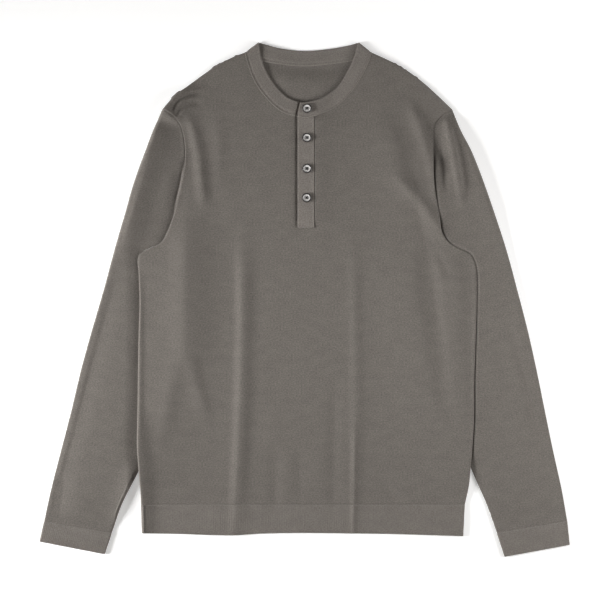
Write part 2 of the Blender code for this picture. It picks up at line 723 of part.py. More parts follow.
outline = body_plan(front_sections[:, :2])
sleeve("sleeve_left", -1, outline)
sleeve("sleeve_right", 1, outline)
cuff("cuff_left", CUFF_LEFT)
cuff("cuff_right", CUFF_RIGHT)
hem_band()
neckband(front_sections, back_sections)

seam_x, seam_y = front_sections[:, 0], front_sections[:, 1]
over_panel = CLOTH / 2 + SEAM_GAP + BAND / 2
placket("placket_under", slot_left + SEAM_GAP, slot_right - SEAM_GAP, slot_foot + SEAM_GAP,
        (seam_x, seam_y - CLOTH / 2), 0.0, CLOTH, RIB)
placket("placket_upper", PLACKET_LEFT, PLACKET_RIGHT, PLACKET_FOOT,
        (seam_x, seam_y - CLOTH / 2), over_panel, BAND, RIB)

for count, (button_x, button_y) in enumerate(BUTTONS, 1):
    if count == 1:
        seat = NECK_LEVEL + NECK_LAP + BAND / 2
    else:
        reach_y = np.array((button_y - BUTTON_RADIUS, button_y + BUTTON_RADIUS))
        seat = float(np.max(front_level(np.full(2, button_x), reach_y))) + over_panel + BAND / 2
    button(f"button_{count}", button_x, button_y, seat + SEAM_GAP)
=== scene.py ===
"""Looks of a long-sleeved henley sweater in fine heathered knit, laid flat on its back.

Lengths are in millimetres and become metres when a mesh is made. X runs across
the sweater, Y from the hem to the collar and Z up from the floor. Left and
right are as seen from above, with the collar away from the viewer.
"""
import math

import bpy
import numpy as np
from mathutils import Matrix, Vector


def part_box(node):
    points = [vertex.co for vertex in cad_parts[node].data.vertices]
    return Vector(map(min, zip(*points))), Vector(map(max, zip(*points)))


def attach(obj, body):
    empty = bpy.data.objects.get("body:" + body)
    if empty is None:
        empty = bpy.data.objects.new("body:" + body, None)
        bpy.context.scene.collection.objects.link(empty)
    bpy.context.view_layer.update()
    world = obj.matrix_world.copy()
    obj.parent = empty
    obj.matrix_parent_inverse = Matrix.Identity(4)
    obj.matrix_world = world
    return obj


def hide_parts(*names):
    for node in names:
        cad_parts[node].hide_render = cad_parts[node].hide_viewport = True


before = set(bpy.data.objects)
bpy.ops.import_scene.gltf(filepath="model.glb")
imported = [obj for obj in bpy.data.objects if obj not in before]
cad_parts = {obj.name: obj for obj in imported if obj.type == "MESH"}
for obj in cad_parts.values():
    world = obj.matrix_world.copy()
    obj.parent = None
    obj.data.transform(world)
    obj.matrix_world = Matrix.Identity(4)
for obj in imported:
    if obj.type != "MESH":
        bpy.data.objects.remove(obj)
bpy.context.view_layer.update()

MM = 0.001


# Studio
# A sheet of pale paper under the sweater, one large soft light low on each
# side of it, a wide one overhead, and a camera that looks straight down.
class Shade:
    """A socket of a material's nodes; operators between shades and numbers add Math nodes."""

    def __init__(self, tree, socket=None):
        self.tree = tree
        self.socket = socket

    def node(self, kind, values, output=0, **settings):
        """Add a node with its settings first, then the values or links of its sockets."""
        made = self.tree.nodes.new(kind)
        for name, value in settings.items():
            setattr(made, name, value)
        for name, value in values.items():
            if isinstance(value, Shade):
                self.tree.links.new(value.socket, made.inputs[name])
            else:
                made.inputs[name].default_value = value
        return Shade(self.tree, made.outputs[output])

    def maths(self, operation, *values):
        return self.node("ShaderNodeMath", dict(enumerate(values)), operation=operation)

    def __add__(self, other):
        return self.maths("ADD", self, other)

    def __radd__(self, other):
        return self.maths("ADD", other, self)

    def __sub__(self, other):
        return self.maths("SUBTRACT", self, other)

    def __rsub__(self, other):
        return self.maths("SUBTRACT", other, self)

    def __mul__(self, other):
        return self.maths("MULTIPLY", self, other)

    def __rmul__(self, other):
        return self.maths("MULTIPLY", other, self)

    def __truediv__(self, other):
        return self.maths("DIVIDE", self, other)

    def __abs__(self):
        return self.maths("ABSOLUTE", self)

    def fraction(self):
        return self.maths("FRACT", self)

    def wave(self):
        """Triangle wave of period 1: 0 where the value is whole, 1 halfway between."""
        return 1.0 - abs(self.fraction() - 0.5) * 2.0

    def mix(self, first, second):
        """Colour that is the first where this value is 0 and the second where it is 1."""
        return self.node("ShaderNodeMix", {"Factor": self, "A": first, "B": second},
                         output=2, data_type="RGBA")


def new_material(name, roughness):
    """Material with its Principled shader's roughness set, and its node tree as a Shade."""
    material = bpy.data.materials.new(name)
    material.use_nodes = True
    shader = material.node_tree.nodes["Principled BSDF"]
    shader.inputs["Roughness"].default_value = roughness
    return material, shader, Shade(material.node_tree)


def feed(shader, name, value):
    """Link a Shade to one of the Principled shader's sockets."""
    value.tree.links.new(value.socket, shader.inputs[name])


def tint(colour, share=1.0):
    """A colour's red, green and blue times a share, with an alpha of 1."""
    return (*(share * part for part in colour), 1.0)


FLOOR_REACH = 3.5  # metres from the middle to each side
FLOOR_COLOUR = (0.96, 0.96, 0.955)
floor_mesh = bpy.data.meshes.new("paper")
floor_corners = [(x * FLOOR_REACH, y * FLOOR_REACH, 0.0) for x, y in ((-1, -1), (1, -1), (1, 1), (-1, 1))]
floor_mesh.from_pydata(floor_corners, [], [(0, 1, 2, 3)])
floor = bpy.data.objects.new("paper", floor_mesh)
bpy.context.scene.collection.objects.link(floor)
paper, paper_shader, paper_nodes = new_material("paper", 0.85)
tooth = paper_nodes.node("ShaderNodeTexNoise", {"Scale": 9.0, "Detail": 3.0})
feed(paper_shader, "Base Color", tooth.mix(tint(FLOOR_COLOUR, 0.985), tint(FLOOR_COLOUR)))
paper_shader.inputs["Emission Color"].default_value = (1.0, 1.0, 1.0, 1.0)
paper_shader.inputs["Emission Strength"].default_value = 0.25
floor_mesh.materials.append(paper)

VIEW_WIDTH = 884.8  # what the picture is wide, in the plane of the cloth
VIEW_CENTRE = (-1.46, -6.57)
CLOTH_PLANE = 5.0
LENS = 100.0
SENSOR = 36.0
camera = bpy.data.objects.new("camera", bpy.data.cameras.new("camera"))
camera.data.lens = LENS
camera.data.sensor_width = SENSOR
camera.location = (VIEW_CENTRE[0] * MM, VIEW_CENTRE[1] * MM, (CLOTH_PLANE + VIEW_WIDTH * LENS / SENSOR) * MM)
bpy.context.scene.collection.objects.link(camera)
bpy.context.scene.camera = camera

# In metres: x, y, z, width, length, then watts, spread in degrees and the x, y that the light faces
LIGHTS = (
    (-1.9, -0.2, 0.66, 0.5, 0.7, 8.9, 60, -0.15, -0.07),
    (1.2, -0.1, 0.45, 0.5, 0.6, 13.6, 180, 0, 0),
    (0, -0.16, 2.1, 1.6, 1.6, 5.8, 180, 0, 0),
)
for number, (x, y, z, width, length, watts, spread_angle, aim_x, aim_y) in enumerate(LIGHTS, 1):
    lamp_data = bpy.data.lights.new(f"soft_light_{number}", "AREA")
    lamp_data.shape = "RECTANGLE"
    lamp_data.size = width
    lamp_data.size_y = length
    lamp_data.energy = watts
    lamp_data.spread = math.radians(spread_angle)
    lamp = bpy.data.objects.new(f"soft_light_{number}", lamp_data)
    lamp.location = (x, y, z)
    to_sweater = np.array((aim_x - x, aim_y - y, -z))
    tilt = math.atan2(math.hypot(to_sweater[0], to_sweater[1]), z)
    turn = math.atan2(to_sweater[1], to_sweater[0]) - math.pi / 2
    lamp.rotation_euler = (tilt, 0.0, turn)
    bpy.context.scene.collection.objects.link(lamp)

room = bpy.data.worlds.new("room")
room.use_nodes = True
room.node_tree.nodes["Background"].inputs["Color"].default_value = (1.0, 0.93, 0.86, 1.0)
room.node_tree.nodes["Background"].inputs["Strength"].default_value = 0.10
bpy.context.scene.world = room
bpy.context.scene.view_settings.view_transform = "Standard"


# Back panel
# Jersey, the lower layer of the body. It lies on the floor and on the hidden
# parts of the sleeves, and its sides and shoulders turn up to the front panel.
CLOTH = 1.5  # wall of the CAD's jersey
WALL = 1.25  # wall of the jersey that shows
SEAM_GAP = 0.35
CUT_BACK = 0.75  # how far the cut edges stay behind the seam lines
BACK_LEVEL = CLOTH / 2
FRONT_RISE = 1.9  # middle of the front panel over that of the back
SLEEVE_STACK = 3.8  # how far the sleeves lift the body
COVER = 4.0  # how far that lift reaches past a sleeve's hidden edge
RAMP = 18.0  # width of its slope down to the floor
LIFT_FOOT = (-295.6, -260.6)  # heights where it begins above the hem and ends at the armholes
LIFT_TOP = (158.0, 231.0)
ROLL = 2.2  # radius of the turned edges
BACK_STEP = 5.4  # width of the mesh's cells

# Body outline: height, left edge, right edge
BODY_SIDES = (
    (-302.2, -238, 235.1),
    (-273.8, -239.7, 240.8),
    (-250.4, -241.5, 242.9),
    (-212.4, -244, 246.2),
    (-177.4, -243.4, 248.2),
    (-119, -242.5, 248.6),
    (-53.3, -241.5, 251),
    (-2.2, -240, 252.4),
    (40.1, -241.6, 252.4),
    (55, -242.1, 249.1),
    (65, -239, 243.5),
    (72.3, -225.6, 228.5),
    (82.5, -208, 210.7),
    (98.5, -199, 200.9),
    (120.5, -190.8, 198.4),
    (152.6, -182.2, 192),
    (178.8, -176.8, 189.2),
    (206, -173.9, 188.8),
    (231.4, -175.2, 189.4),
    (251.1, -180, 191.1),
    (266, -190.4, 200.8),
    (276.2, -206.7, 216.8),
)
LAST_OPEN_ROW = 152.6  # the armholes end here
FOLDED_BELOW = 120.5  # below this height the side edges are folded edges
# Shoulder line: height, left, right
SHOULDERS = (
    (276.2, -206.7, 216.8),
    (297.1, -188.4, 194.9),
    (311.7, -168.6, 178.9),
    (326.3, -148.6, 160.6),
    (340.9, -127.6, 138),
    (352.8, -104, 113.9),
    (359.9, -85.6, 98.1),
)
# Sections across the back of the neckband: seam x, seam y, free edge x, free edge y
NECK_BACK = (
    (-85.6, 359.9, -66.4, 374.5),
    (-70, 351, -55, 371),
    (-40, 344.5, -34, 365.5),
    (1, 341, 1, 362),
    (42, 344.5, 37, 365),
    (77, 350.5, 65, 370),
    (98.1, 359.9, 80, 374.5),
)
# Hidden inner edge of the sleeves beneath the body: height, left, right
SLEEVE_HIDDEN = (
    (217, -171, 171),
    (118, -177, 188),
    (78, -181, 198),
    (-2, -184, 211),
    (-61, -187, 216),
    (-126, -201, 224),
    (-192, -220, 233),
    (-242, -237, 242),
)
# Soft folds of the back: start x, y, middle x, y, end x, y, height, left width, right width
BACK_CREASES = (
    (-150, 190, -120, 90, -130, -60, 0.5, 14, 22),
    (90, 210, 70, 40, 84, -190, 0.6, 16, 12),
    (-30, 60, -44, -90, -30, -280, 0.5, 18, 14),
    (160, 40, 150, -60, 165, -200, 0.4, 12, 18),
)
NECK_CENTRE = (5.8, 362.8)
# Mound of the back inside the neck: height, distances from the neck's centre between which it falls off
MOUNDS = (
    (1.1, 66, 86),
    (1.9, 50, 71),
)
MOUND_SLOPE = (20.0, 70.0)  # x where both fall off
MOUND_TOP = (318.0, 338.0)  # heights where both fall off


def smooth(low, high, value):
    """Rise from 0 at low to 1 at high, level at both ends."""
    t = np.clip((value - low) / (high - low), 0.0, 1.0)
    return t * t * (3.0 - 2.0 * t)


def fade(low, high, value):
    """Fall from 1 at low to 0 at high, level at both ends."""
    return 1.0 - smooth(low, high, value)


def unit(vectors):
    """Vectors brought to a length of 1."""
    return vectors / np.linalg.norm(vectors, axis=-1, keepdims=True)


def at_height(table, y):
    """A table's other columns at the heights y, where its first column holds heights from low to high."""
    heights, *columns = np.asarray(table, float).T
    return [np.interp(y, heights, column) for column in columns]


def travel(curve):
    """Distance along a polyline at each of its points."""
    return np.concatenate(([0.0], np.cumsum(np.linalg.norm(np.diff(curve, axis=0), axis=1))))


def spread(curve, shares):
    """Points of a polyline at the given shares of its length."""
    return np.column_stack([np.interp(shares * travel(curve)[-1], travel(curve), axis) for axis in curve.T])


def refine(rows, step):
    """A table's rows joined by a cubic curve that turns evenly at each row, in cells of about step."""
    rows = np.asarray(rows, float)
    chords = np.diff(rows, axis=0)
    lengths = np.linalg.norm(chords, axis=1)
    heading = unit(chords)
    turn = unit(np.vstack((heading[:1], heading[1:] + heading[:-1], heading[-1:])))
    fine = []
    for i, length in enumerate(lengths):
        t = np.linspace(0.0, 1.0, 24)[:-1, None]
        fine.append(rows[i] * (2 * t**3 - 3 * t**2 + 1) + rows[i + 1] * (3 * t**2 - 2 * t**3)
                    + length * (turn[i] * (t**3 - 2 * t**2 + t) + turn[i + 1] * (t**3 - t**2)))
    fine = np.vstack(fine + [rows[-1:]])
    return spread(fine, np.linspace(0.0, 1.0, round(travel(fine)[-1] / step) + 1))


def turned_shares(length, step, first=True, last=True):
    """Shares of a line in cells of about step, and finer ones where an end is a turned edge."""
    turned = np.array((0.0, 0.12, 0.45, 1.0, 1.7, 2.6, 3.8, 5.4))
    low = turned if first else turned[:1]
    high = turned if last else turned[:1]
    middle = np.linspace(low[-1], length - high[-1], round((length - low[-1] - high[-1]) / step) + 1)
    return np.concatenate((low[:-1], middle, length - high[-2::-1])) / length


def beside(path, x, y):
    """Distance of points to a polyline, negative on its left, and how far along it they are, 0 to 1."""
    gap = np.full(x.shape, np.inf)
    hand = np.ones(x.shape)
    along = np.zeros(x.shape)
    done = travel(path)
    for start, step, before, after in zip(path, np.diff(path, axis=0), done, done[1:]):
        away_x, away_y = x - start[0], y - start[1]
        share = np.clip((away_x * step[0] + away_y * step[1]) / (after - before)**2, 0.0, 1.0)
        distance = np.hypot(away_x - share * step[0], away_y - share * step[1])
        closer = distance < gap
        gap = np.where(closer, distance, gap)
        hand = np.where(closer, np.where(step[0] * away_y > step[1] * away_x, -1.0, 1.0), hand)
        along = np.where(closer, (before + share * (after - before)) / done[-1], along)
    return gap * hand, along


def distance(path, x, y):
    """Distance of points to a polyline."""
    return np.abs(beside(path, x, y)[0])


def quarter(gap, radius):
    """Quarter circle over a turned edge: 0 on the edge, 1 a radius away from it and further in."""
    return np.sqrt(1.0 - (1.0 - np.clip(gap / radius, 0.0, 1.0))**2)


def creases(table, x, y):
    """Height of soft ridges and, where it is negative, troughs.

    Each follows a parabola through three points. Its section is a bell with a width
    of its own on either side, and it fades towards both ends.
    """
    total = np.zeros_like(x)
    t = np.linspace(0.0, 1.0, 15)[:, None]
    for x0, y0, x1, y1, x2, y2, height, left, right in table:
        first, middle, last = np.array(((x0, y0), (x1, y1), (x2, y2)))
        bend = 2 * middle - (first + last) / 2
        path = (1 - t)**2 * first + 2 * t * (1 - t) * bend + t**2 * last
        reach = 2.6 * max(left, right)
        near = ((x > path[:, 0].min() - reach) & (x < path[:, 0].max() + reach)
                & (y > path[:, 1].min() - reach) & (y < path[:, 1].max() + reach))
        gap, along = beside(path, x[near], y[near])
        downward = y2 < y0
        width = np.where((gap > 0) == downward, left, right)
        ends = smooth(0.0, 0.25, along) * fade(0.68, 1.0, along)
        total[near] += height * ends * np.exp(-(gap / width)**2)
    return total


def lift(x, y):
    """What both body layers gain over the sleeves, with slopes down to the floor."""
    left, right = at_height(hidden_edge, y)
    over_left = fade(left + COVER, left + COVER + RAMP, x)
    over_right = smooth(right - COVER - RAMP, right - COVER, x)
    return SLEEVE_STACK * np.maximum(over_left, over_right) * smooth(*LIFT_FOOT, y) * fade(*LIFT_TOP, y)


def neck_mound(x, y):
    """Swell of the back inside the neck, where the cloth stands off the floor on the left."""
    from_centre = np.hypot(x - NECK_CENTRE[0], y - NECK_CENTRE[1])
    rise = sum(height * fade(near, far, from_centre) for height, near, far in MOUNDS)
    return rise * fade(*MOUND_SLOPE, x) * fade(*MOUND_TOP, y)


def back_level(x, y):
    """Middle height of the back panel."""
    return BACK_LEVEL + lift(x, y)


def body_plan(neckline, step):
    """Grid over a body panel: rows go up the sides, columns go up to the shoulders and the neck.

    Each column runs straight from the hem to the top edge, and the rows take up the slope
    of the shoulders near the top. Near the sides the rows are shifted so that the first
    and last columns follow the side curves.
    """
    sides = refine(BODY_SIDES, 1.0)
    sides = spread(sides, turned_shares(travel(sides)[-1], step, first=False))
    sides[0, 0] += CUT_BACK
    left, right = sides[:, (1, 0)], sides[:, (2, 0)]
    shoulders = refine(SHOULDERS, 1.0)
    shoulders = spread(shoulders, turned_shares(travel(shoulders)[-1], step * 0.8, last=False))
    left_shoulder, right_shoulder = shoulders[:, (1, 0)], shoulders[:, (2, 0)]
    top = np.vstack((left_shoulder[:-1], neckline, right_shoulder[-2::-1]))
    straight = (-130.0, 133.0)  # between these the columns run straight up
    foot_x = np.interp(top[:, 0], (top[0, 0], *straight, top[-1, 0]), (left[0, 0], *straight, right[0, 0]))
    foot_y, tip_y = left[0, 1], left[-1, 1]
    up = ((left[:, 1] - foot_y) / (tip_y - foot_y))[:, None]
    plan = np.stack((foot_x + up * (top[:, 0] - foot_x),
                     foot_y + up * (tip_y - foot_y) + up**4 * (top[:, 1] - tip_y)), axis=-1)
    pull = 110.0  # how far inside the sides the rows bend to follow them
    left_share = np.clip(1.0 - (top[:, 0] - top[0, 0]) / pull, 0.0, 1.0)[None, :, None] ** 2
    right_share = np.clip(1.0 - (top[-1, 0] - top[:, 0]) / pull, 0.0, 1.0)[None, :, None] ** 2
    return plan + left_share * (left[:, None] - plan[:, :1]) + right_share * (right[:, None] - plan[:, -1:])


def turned_edge(x, y):
    """0 on the body's turned edges and 1 past their radius, along a quarter circle."""
    share = np.ones_like(x)
    folded = fade(FOLDED_BELOW, LAST_OPEN_ROW, y)
    for edge, weight in ((left_side, folded), (right_side, folded),
                         (left_shoulder_line, 1.0), (right_shoulder_line, 1.0)):
        share = np.minimum(share, 1.0 - weight * (1.0 - quarter(distance(edge, x, y), ROLL)))
    return share


def neck_samples(sections, step, marks):
    """Sections across a neckline in cells of about step, with some at the given x."""
    fine = refine(sections, 0.5)
    gone = travel(fine)
    at = np.linspace(0.0, gone[-1], round(gone[-1] / step) + 1)
    marks = np.interp(marks, fine[:, 0], gone)
    free = np.all(np.abs(at[:, None] - marks) > 0.4 * step, axis=1)
    return spread(fine, np.sort(np.concatenate((at[free], marks))) / gone[-1])


def seam_line(sections):
    """Where a panel's cut neck edge stays behind the seam of the neckband."""
    seam, free = sections[:, :2], sections[:, 2:]
    return seam + unit(seam - free) * CUT_BACK


def surface(name, points, plan, material, round_rows=False, round_columns=False, caps=False, keep=None):
    """Mesh over a grid of points, with its rows or columns joined end to end where asked.

    plan gives each point's place in the flat cloth, across the stitches and along them,
    and becomes the UV map in metres. keep marks the cells that are made.
    """
    rows, columns = points.shape[:2]
    number = np.arange(rows * columns).reshape(rows, columns)
    end_rows = [number[0, ::-1].tolist(), number[-1].tolist()]
    if round_rows:
        number = np.vstack((number, number[:1]))
    if round_columns:
        number = np.hstack((number, number[:, :1]))
    cells = np.stack((number[:-1, :-1], number[:-1, 1:], number[1:, 1:], number[1:, :-1]), axis=-1)
    points, plan = points.reshape(-1, 3) * MM, plan.reshape(-1, 2) * MM
    if keep is None:
        faces = cells.reshape(-1, 4).tolist() + (end_rows if caps else [])
    else:
        used, faces = np.unique(cells[keep], return_inverse=True)
        points, plan, faces = points[used], plan[used], faces.reshape(-1, 4).tolist()
    mesh = bpy.data.meshes.new(name)
    mesh.from_pydata(points.tolist(), [], faces)
    corner = np.empty(len(mesh.loops), np.int32)
    mesh.loops.foreach_get("vertex_index", corner)
    flat = mesh.uv_layers.new(name="flat")
    flat.data.foreach_set("uv", plan[corner].astype(np.float32).ravel())
    mesh.shade_smooth()
    mesh.materials.append(material)
    piece = bpy.data.objects.new(name, mesh)
    bpy.context.scene.collection.objects.link(piece)
    return piece


def thicken(piece, wall):
    """Give a one-sided cloth its wall, inwards from the side that shows."""
    solid = piece.modifiers.new("wall", "SOLIDIFY")
    solid.thickness = wall * MM
    solid.offset = -1.0
    solid.use_rim = True


def finish_cloth(piece, node, flat, area):
    """A cloth piece that replaces its CAD solid. The size and area of its cut, in millimetres, are scaled to
    metres and left unused.
    """
    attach(piece, "root")
    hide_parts(node)
    flat[0] * MM
    flat[1] * MM
    area * MM * MM


HEATHER = 2.6  # contrast of the cloth's fibres, of its cloudy patches and of its stitches
PATCHES = 0.5
STITCH_TONE = 0.12
FIBRES = (420.0, 760.0)  # fibres to the metre, across the stitches and along them


def knit(name, colour, wale, course, ribbed, relief):
    """Fine knit: V stitches in columns a wale wide and rows a course high.

    A stitch leg's height is a bell across the leg times a bell along it, and its phase
    climbs from the middle of a column to its sides, which draws the V. Ribbed knit adds
    a round ridge over every second column. Fibres of slightly different tones mix in
    short streaks across the columns.
    """
    material, shader, nodes = new_material(name, 0.92)
    flat = nodes.node("ShaderNodeUVMap", {}, uv_map="flat")
    across = nodes.node("ShaderNodeSeparateXYZ", {"Vector": flat})
    along = Shade(across.tree, across.socket.node.outputs[1])
    beside_column = (across / (wale * MM)).wave()
    phase = along / (course * MM) + beside_column * 0.8
    leg = phase.wave()
    bow = 1.0 - abs(beside_column - 0.5) * 2.0
    stitch = leg * (0.35 + 0.65 * bow)
    if ribbed:
        ridge = (across / (2.0 * wale * MM)).wave()
        stitch = stitch * 0.45 + ridge * (2.0 - ridge)

    streaks = nodes.node("ShaderNodeCombineXYZ", {0: across * FIBRES[0], 1: along * FIBRES[1]})
    fibre = nodes.node("ShaderNodeTexNoise", {"Vector": streaks, "Scale": 1.0, "Detail": 2.0,
                                              "Roughness": 0.6})
    cloud = nodes.node("ShaderNodeTexNoise", {"Vector": streaks, "Scale": 0.11, "Detail": 2.0})
    light = (fibre - 0.5) * HEATHER + (cloud - 0.5) * PATCHES + 0.5 + (stitch - 0.5) * STITCH_TONE
    feed(shader, "Base Color", light.mix(tint(colour, 0.72), tint(colour, 1.28)))
    height = stitch + (fibre - 0.5) * 0.8
    bump = nodes.node("ShaderNodeBump", {"Height": height, "Strength": 0.7, "Distance": relief * MM})
    feed(shader, "Normal", bump)
    shader.inputs["Sheen Weight"].default_value = 0.45
    shader.inputs["Sheen Roughness"].default_value = 0.3
    shader.inputs["Sheen Tint"].default_value = (1.0, 0.96, 0.92, 1.0)
    shader.inputs["Specular IOR Level"].default_value = 0.25
    return material


JERSEY_COLOUR = (0.150, 0.136, 0.122)
jersey = knit("jersey", JERSEY_COLOUR, wale=1.5, course=1.15, ribbed=False, relief=0.22)
hidden_edge = refine(SLEEVE_HIDDEN, 6.0)[::-1]
side_rows = refine(BODY_SIDES, 9.0)
left_side, right_side = side_rows[:, (1, 0)], side_rows[:, (2, 0)]
shoulder_rows = refine(SHOULDERS, 12.0)
left_shoulder_line, right_shoulder_line = shoulder_rows[:, (1, 0)], shoulder_rows[:, (2, 0)]

back_plan = body_plan(seam_line(neck_samples(NECK_BACK, BACK_STEP * 1.3, [])), BACK_STEP)
x, y = back_plan[..., 0], back_plan[..., 1]
back_roll = turned_edge(x, y)
seam_height = back_level(x, y) + FRONT_RISE / 2
underside = back_level(x, y) - CLOTH / 2 + np.maximum(creases(BACK_CREASES, x, y), 0.0) + neck_mound(x, y)
z = seam_height - (seam_height - underside) * back_roll
back_points = np.stack((x, y, z), axis=-1)[:, ::-1]
body_back = surface("body_back_knit", back_points, back_plan[:, ::-1], jersey)
thicken(body_back, WALL)
BODY_WIDTH = 2 * 248.0
BACK_LENGTH = 662.0
BACK_AREA = 301000.0
finish_cloth(body_back, "body_back", (BODY_WIDTH, BACK_LENGTH), BACK_AREA)


# Front panel
# The upper layer of the body, in the same jersey. It is slack, so it lies in
# long upright folds, with short ones that fan out from the armholes.
FRONT_STEP = 3.35
FRONT_LENGTH = 645.0
FRONT_AREA = 282000.0
PLACKET_LEFT = -9.0
PLACKET_RIGHT = 15.0
PLACKET_FOOT = 103.4
PLACKET_LAP = 2.2  # how far the upper placket covers the slot's edges
slot_left = PLACKET_LEFT + PLACKET_LAP
slot_right = PLACKET_RIGHT - PLACKET_LAP
slot_foot = PLACKET_FOOT + PLACKET_LAP
# x of the mesh's columns beside the placket
PLACKET_MARKS = (-15.0, -12.5, -10.8, -9.4, -8.2, slot_left, slot_right, 14.8, 15.3, 15.9, 17.4)
NECK_RADIUS = 93.0
NECK_LOFT = 1.6  # how far the slack front stands off the back at the neck, body and hem
BODY_LOFT = 1.4
HEM_LOFT = 0.75
NECK_FADE = (3.0, 75.0)  # distances from the neckband where the loft falls off
LOFT_EDGE = 55.0  # distance from the sides over which it grows
LOFT_FOOT = (-300.0, -220.0)  # heights where it begins above the hem and ends below the shoulders
LOFT_TOP = (255.0, 330.0)
HEM_FADE = (-302.0, -262.0)
# Sections across the front of the neckband: seam x, seam y, free edge x, free edge y
NECK_FRONT = (
    (-85.6, 359.9, -66.4, 374.5),
    (-81.8, 345.3, -62, 351),
    (-72.6, 320.5, -53.6, 329.4),
    (-58.4, 298.6, -41.3, 310.2),
    (-33.6, 275.2, -23.4, 293.6),
    (-8.8, 266.5, -5.1, 287.2),
    (2.9, 265, 2.9, 286.9),
    (14.6, 267.2, 13.1, 288.6),
    (30.7, 273, 23.1, 291.7),
    (46.7, 281, 35.8, 298.6),
    (66.4, 300, 50.5, 311),
    (81, 320.5, 62.2, 329.2),
    (93.4, 345.3, 72.3, 350.4),
    (98.1, 359.9, 80, 374.5),
)
# Where the front comes down from the sleeves: height, left crest, left run, right crest, right run
FRONT_SLOPES = (
    (-300, -238, 110, 240, 90),
    (-200, -216, 110, 230, 80),
    (-150, -200, 90, 224, 40),
    (-110, -186, 70, 219, 28),
    (-75, -174, 60, 215, 24),
    (0, -174, 60, 209, 22),
    (60, -174, 60, 202, 20),
    (150, -171, 50, 184, 24),
)
# Folds of the front: start x, y, middle x, y, end x, y, height, left width, right width
FRONT_CREASES = (
    # the two long folds that hang from the chest into the hem
    (-92, 130, -91, -110, -106, -400, 3.7, 8.5, 14),
    (66, 130, 76, -110, 70, -400, 2, 8, 10),
    (73.5, -165, 73, -262, 70, -385, 1.4, 3.2, 4),
    (44, -110, 44, -221, 42, -340, -1.3, 8, 10),
    # the broad fold down the left side, which forks
    (-174, 130, -172.5, 5, -174, -130, 3.8, 21, 40),
    (-170, -75, -156, -126, -140, -185, 2, 13, 12),
    (-182, -75, -198, -150, -217, -245, 1.2, 15, 15),
    (-178, -105, -189, -170, -206, -245, -0.3, 10, 12),
    (-243, -150, -240.5, -262, -236, -400, 5.4, 4, 18),
    (-238.5, 60, -239, -80, -240.5, -260, 1.4, 3.5, 5),
    # the hollow before the sleeve's edge and the swell over it, down the right side
    (156, 110, 168, -40, 208, -250, 4.4, 45, 16),
    (219, 100, 227, -50, 236, -250, 3, 22, 12),
    (180, 96, 198, 62, 214, 24, -1, 5, 5),
    (248.2, 75, 247.2, -90, 242.6, -290, 1.3, 2.2, 4),
    # short soft troughs above the hem
    (-42, -205, -42, -260, -41, -320, -1.1, 9, 9),
    (-6, -215, -6, -265, -6, -320, -0.9, 8, 8),
    (106, -240, 124, -278, 142, -316, -1.2, 8, 8),
    (226, -250, 226, -285, 224, -322, -1.1, 8, 8),
    # the left shoulder and chest, beside the armhole seam
    (-178, 276, -156, 222, -146, 118, 3.8, 9, 9),
    (-128, 280, -124, 217, -124, 140, 1.1, 8, 10),
    (-207, 252, -201, 282, -194, 326, 9.5, 14, 33),
    (-194, 262, -179, 291.5, -142, 300, -3.8, 2.8, 2.8),
    (-190, 260, -173, 281.5, -142, 285, -3.4, 2.8, 2.8),
    # the right chest, beside the armhole seam
    (150, 294, 174, 236, 194, 156, 4.6, 9.5, 9),
    (112, 275, 138, 202, 168, 112, 3.8, 32, 14),
    (118, 192, 167, 144, 222, 66, 4.4, 9, 8),
)
# Edges beside the armhole seams, which the seam allowances prop up: height, left rise, right rise
ARMHOLE_WELTS = (
    (110, 0.8, 0.7),
    (150, 0.8, 1.6),
    (195, 1, 2.1),
    (225, 1.4, 0.5),
    (270, 1.4, 0.3),
)
WELT_WIDTHS = (6.0, 8.0)
EDGE_ROLL = 1.6  # radius and depth of the turn at an armhole's edge
EDGE_DROP = 1.3
PLACKET_FADE = (-4.0, 12.0)  # heights over the placket's foot where its relief begins
SLOT_DIP = 1.2  # depth and half width of the hollow along the upper placket's left edge
SLOT_DIP_WIDTH = 1.7
CHEST_SWELL = 2.5  # height and width of the swell beside its right edge
CHEST_SWELL_WIDTH = 28.0
CHEST_SWELL_TOP = (258.0, 272.0)  # heights where it ends below the neckband
UPRIGHT = (0.8, 0.6)  # how the flat pattern moves on with the height, on edges that turn down


def armhole_relief(x, y):
    """Rise of the front near the armhole seams, and its turn down at their edges."""
    total = np.zeros_like(x)
    open_part = smooth(FOLDED_BELOW, LAST_OPEN_ROW, y)
    for edge, rise, width in zip((left_side, right_side), at_height(ARMHOLE_WELTS, y), WELT_WIDTHS):
        gap = distance(edge, x, y)
        drop = EDGE_DROP * (1.0 - quarter(gap, EDGE_ROLL))
        total += (rise * np.exp(-(gap / width)**2) - drop) * open_part
    return total


def placket_relief(x, y):
    """Dip of the front beside the upper placket's left edge, and its swell beside the right one."""
    dip = SLOT_DIP * np.exp(-((x - PLACKET_LEFT + 1.0) / SLOT_DIP_WIDTH)**2)
    beyond = x - PLACKET_RIGHT
    swell = CHEST_SWELL * smooth(-0.1, 0.7, beyond) * np.exp(-(beyond / CHEST_SWELL_WIDTH)**2)
    return (swell * fade(*CHEST_SWELL_TOP, y) - dip) * smooth(*PLACKET_FADE, y - PLACKET_FOOT)


def front_lift(x, y):
    """What the front gains over the sleeves: at least the back's rise, and its own longer slopes."""
    left, left_run, right, right_run = at_height(FRONT_SLOPES, y)
    inward = np.clip(np.minimum((x - left) / left_run, (right - x) / right_run), 0.0, 1.0)
    own = SLEEVE_STACK * fade(0.0, 1.0, inward**0.7)
    return np.maximum(own * smooth(*LIFT_FOOT, y) * fade(*LIFT_TOP, y), lift(x, y))


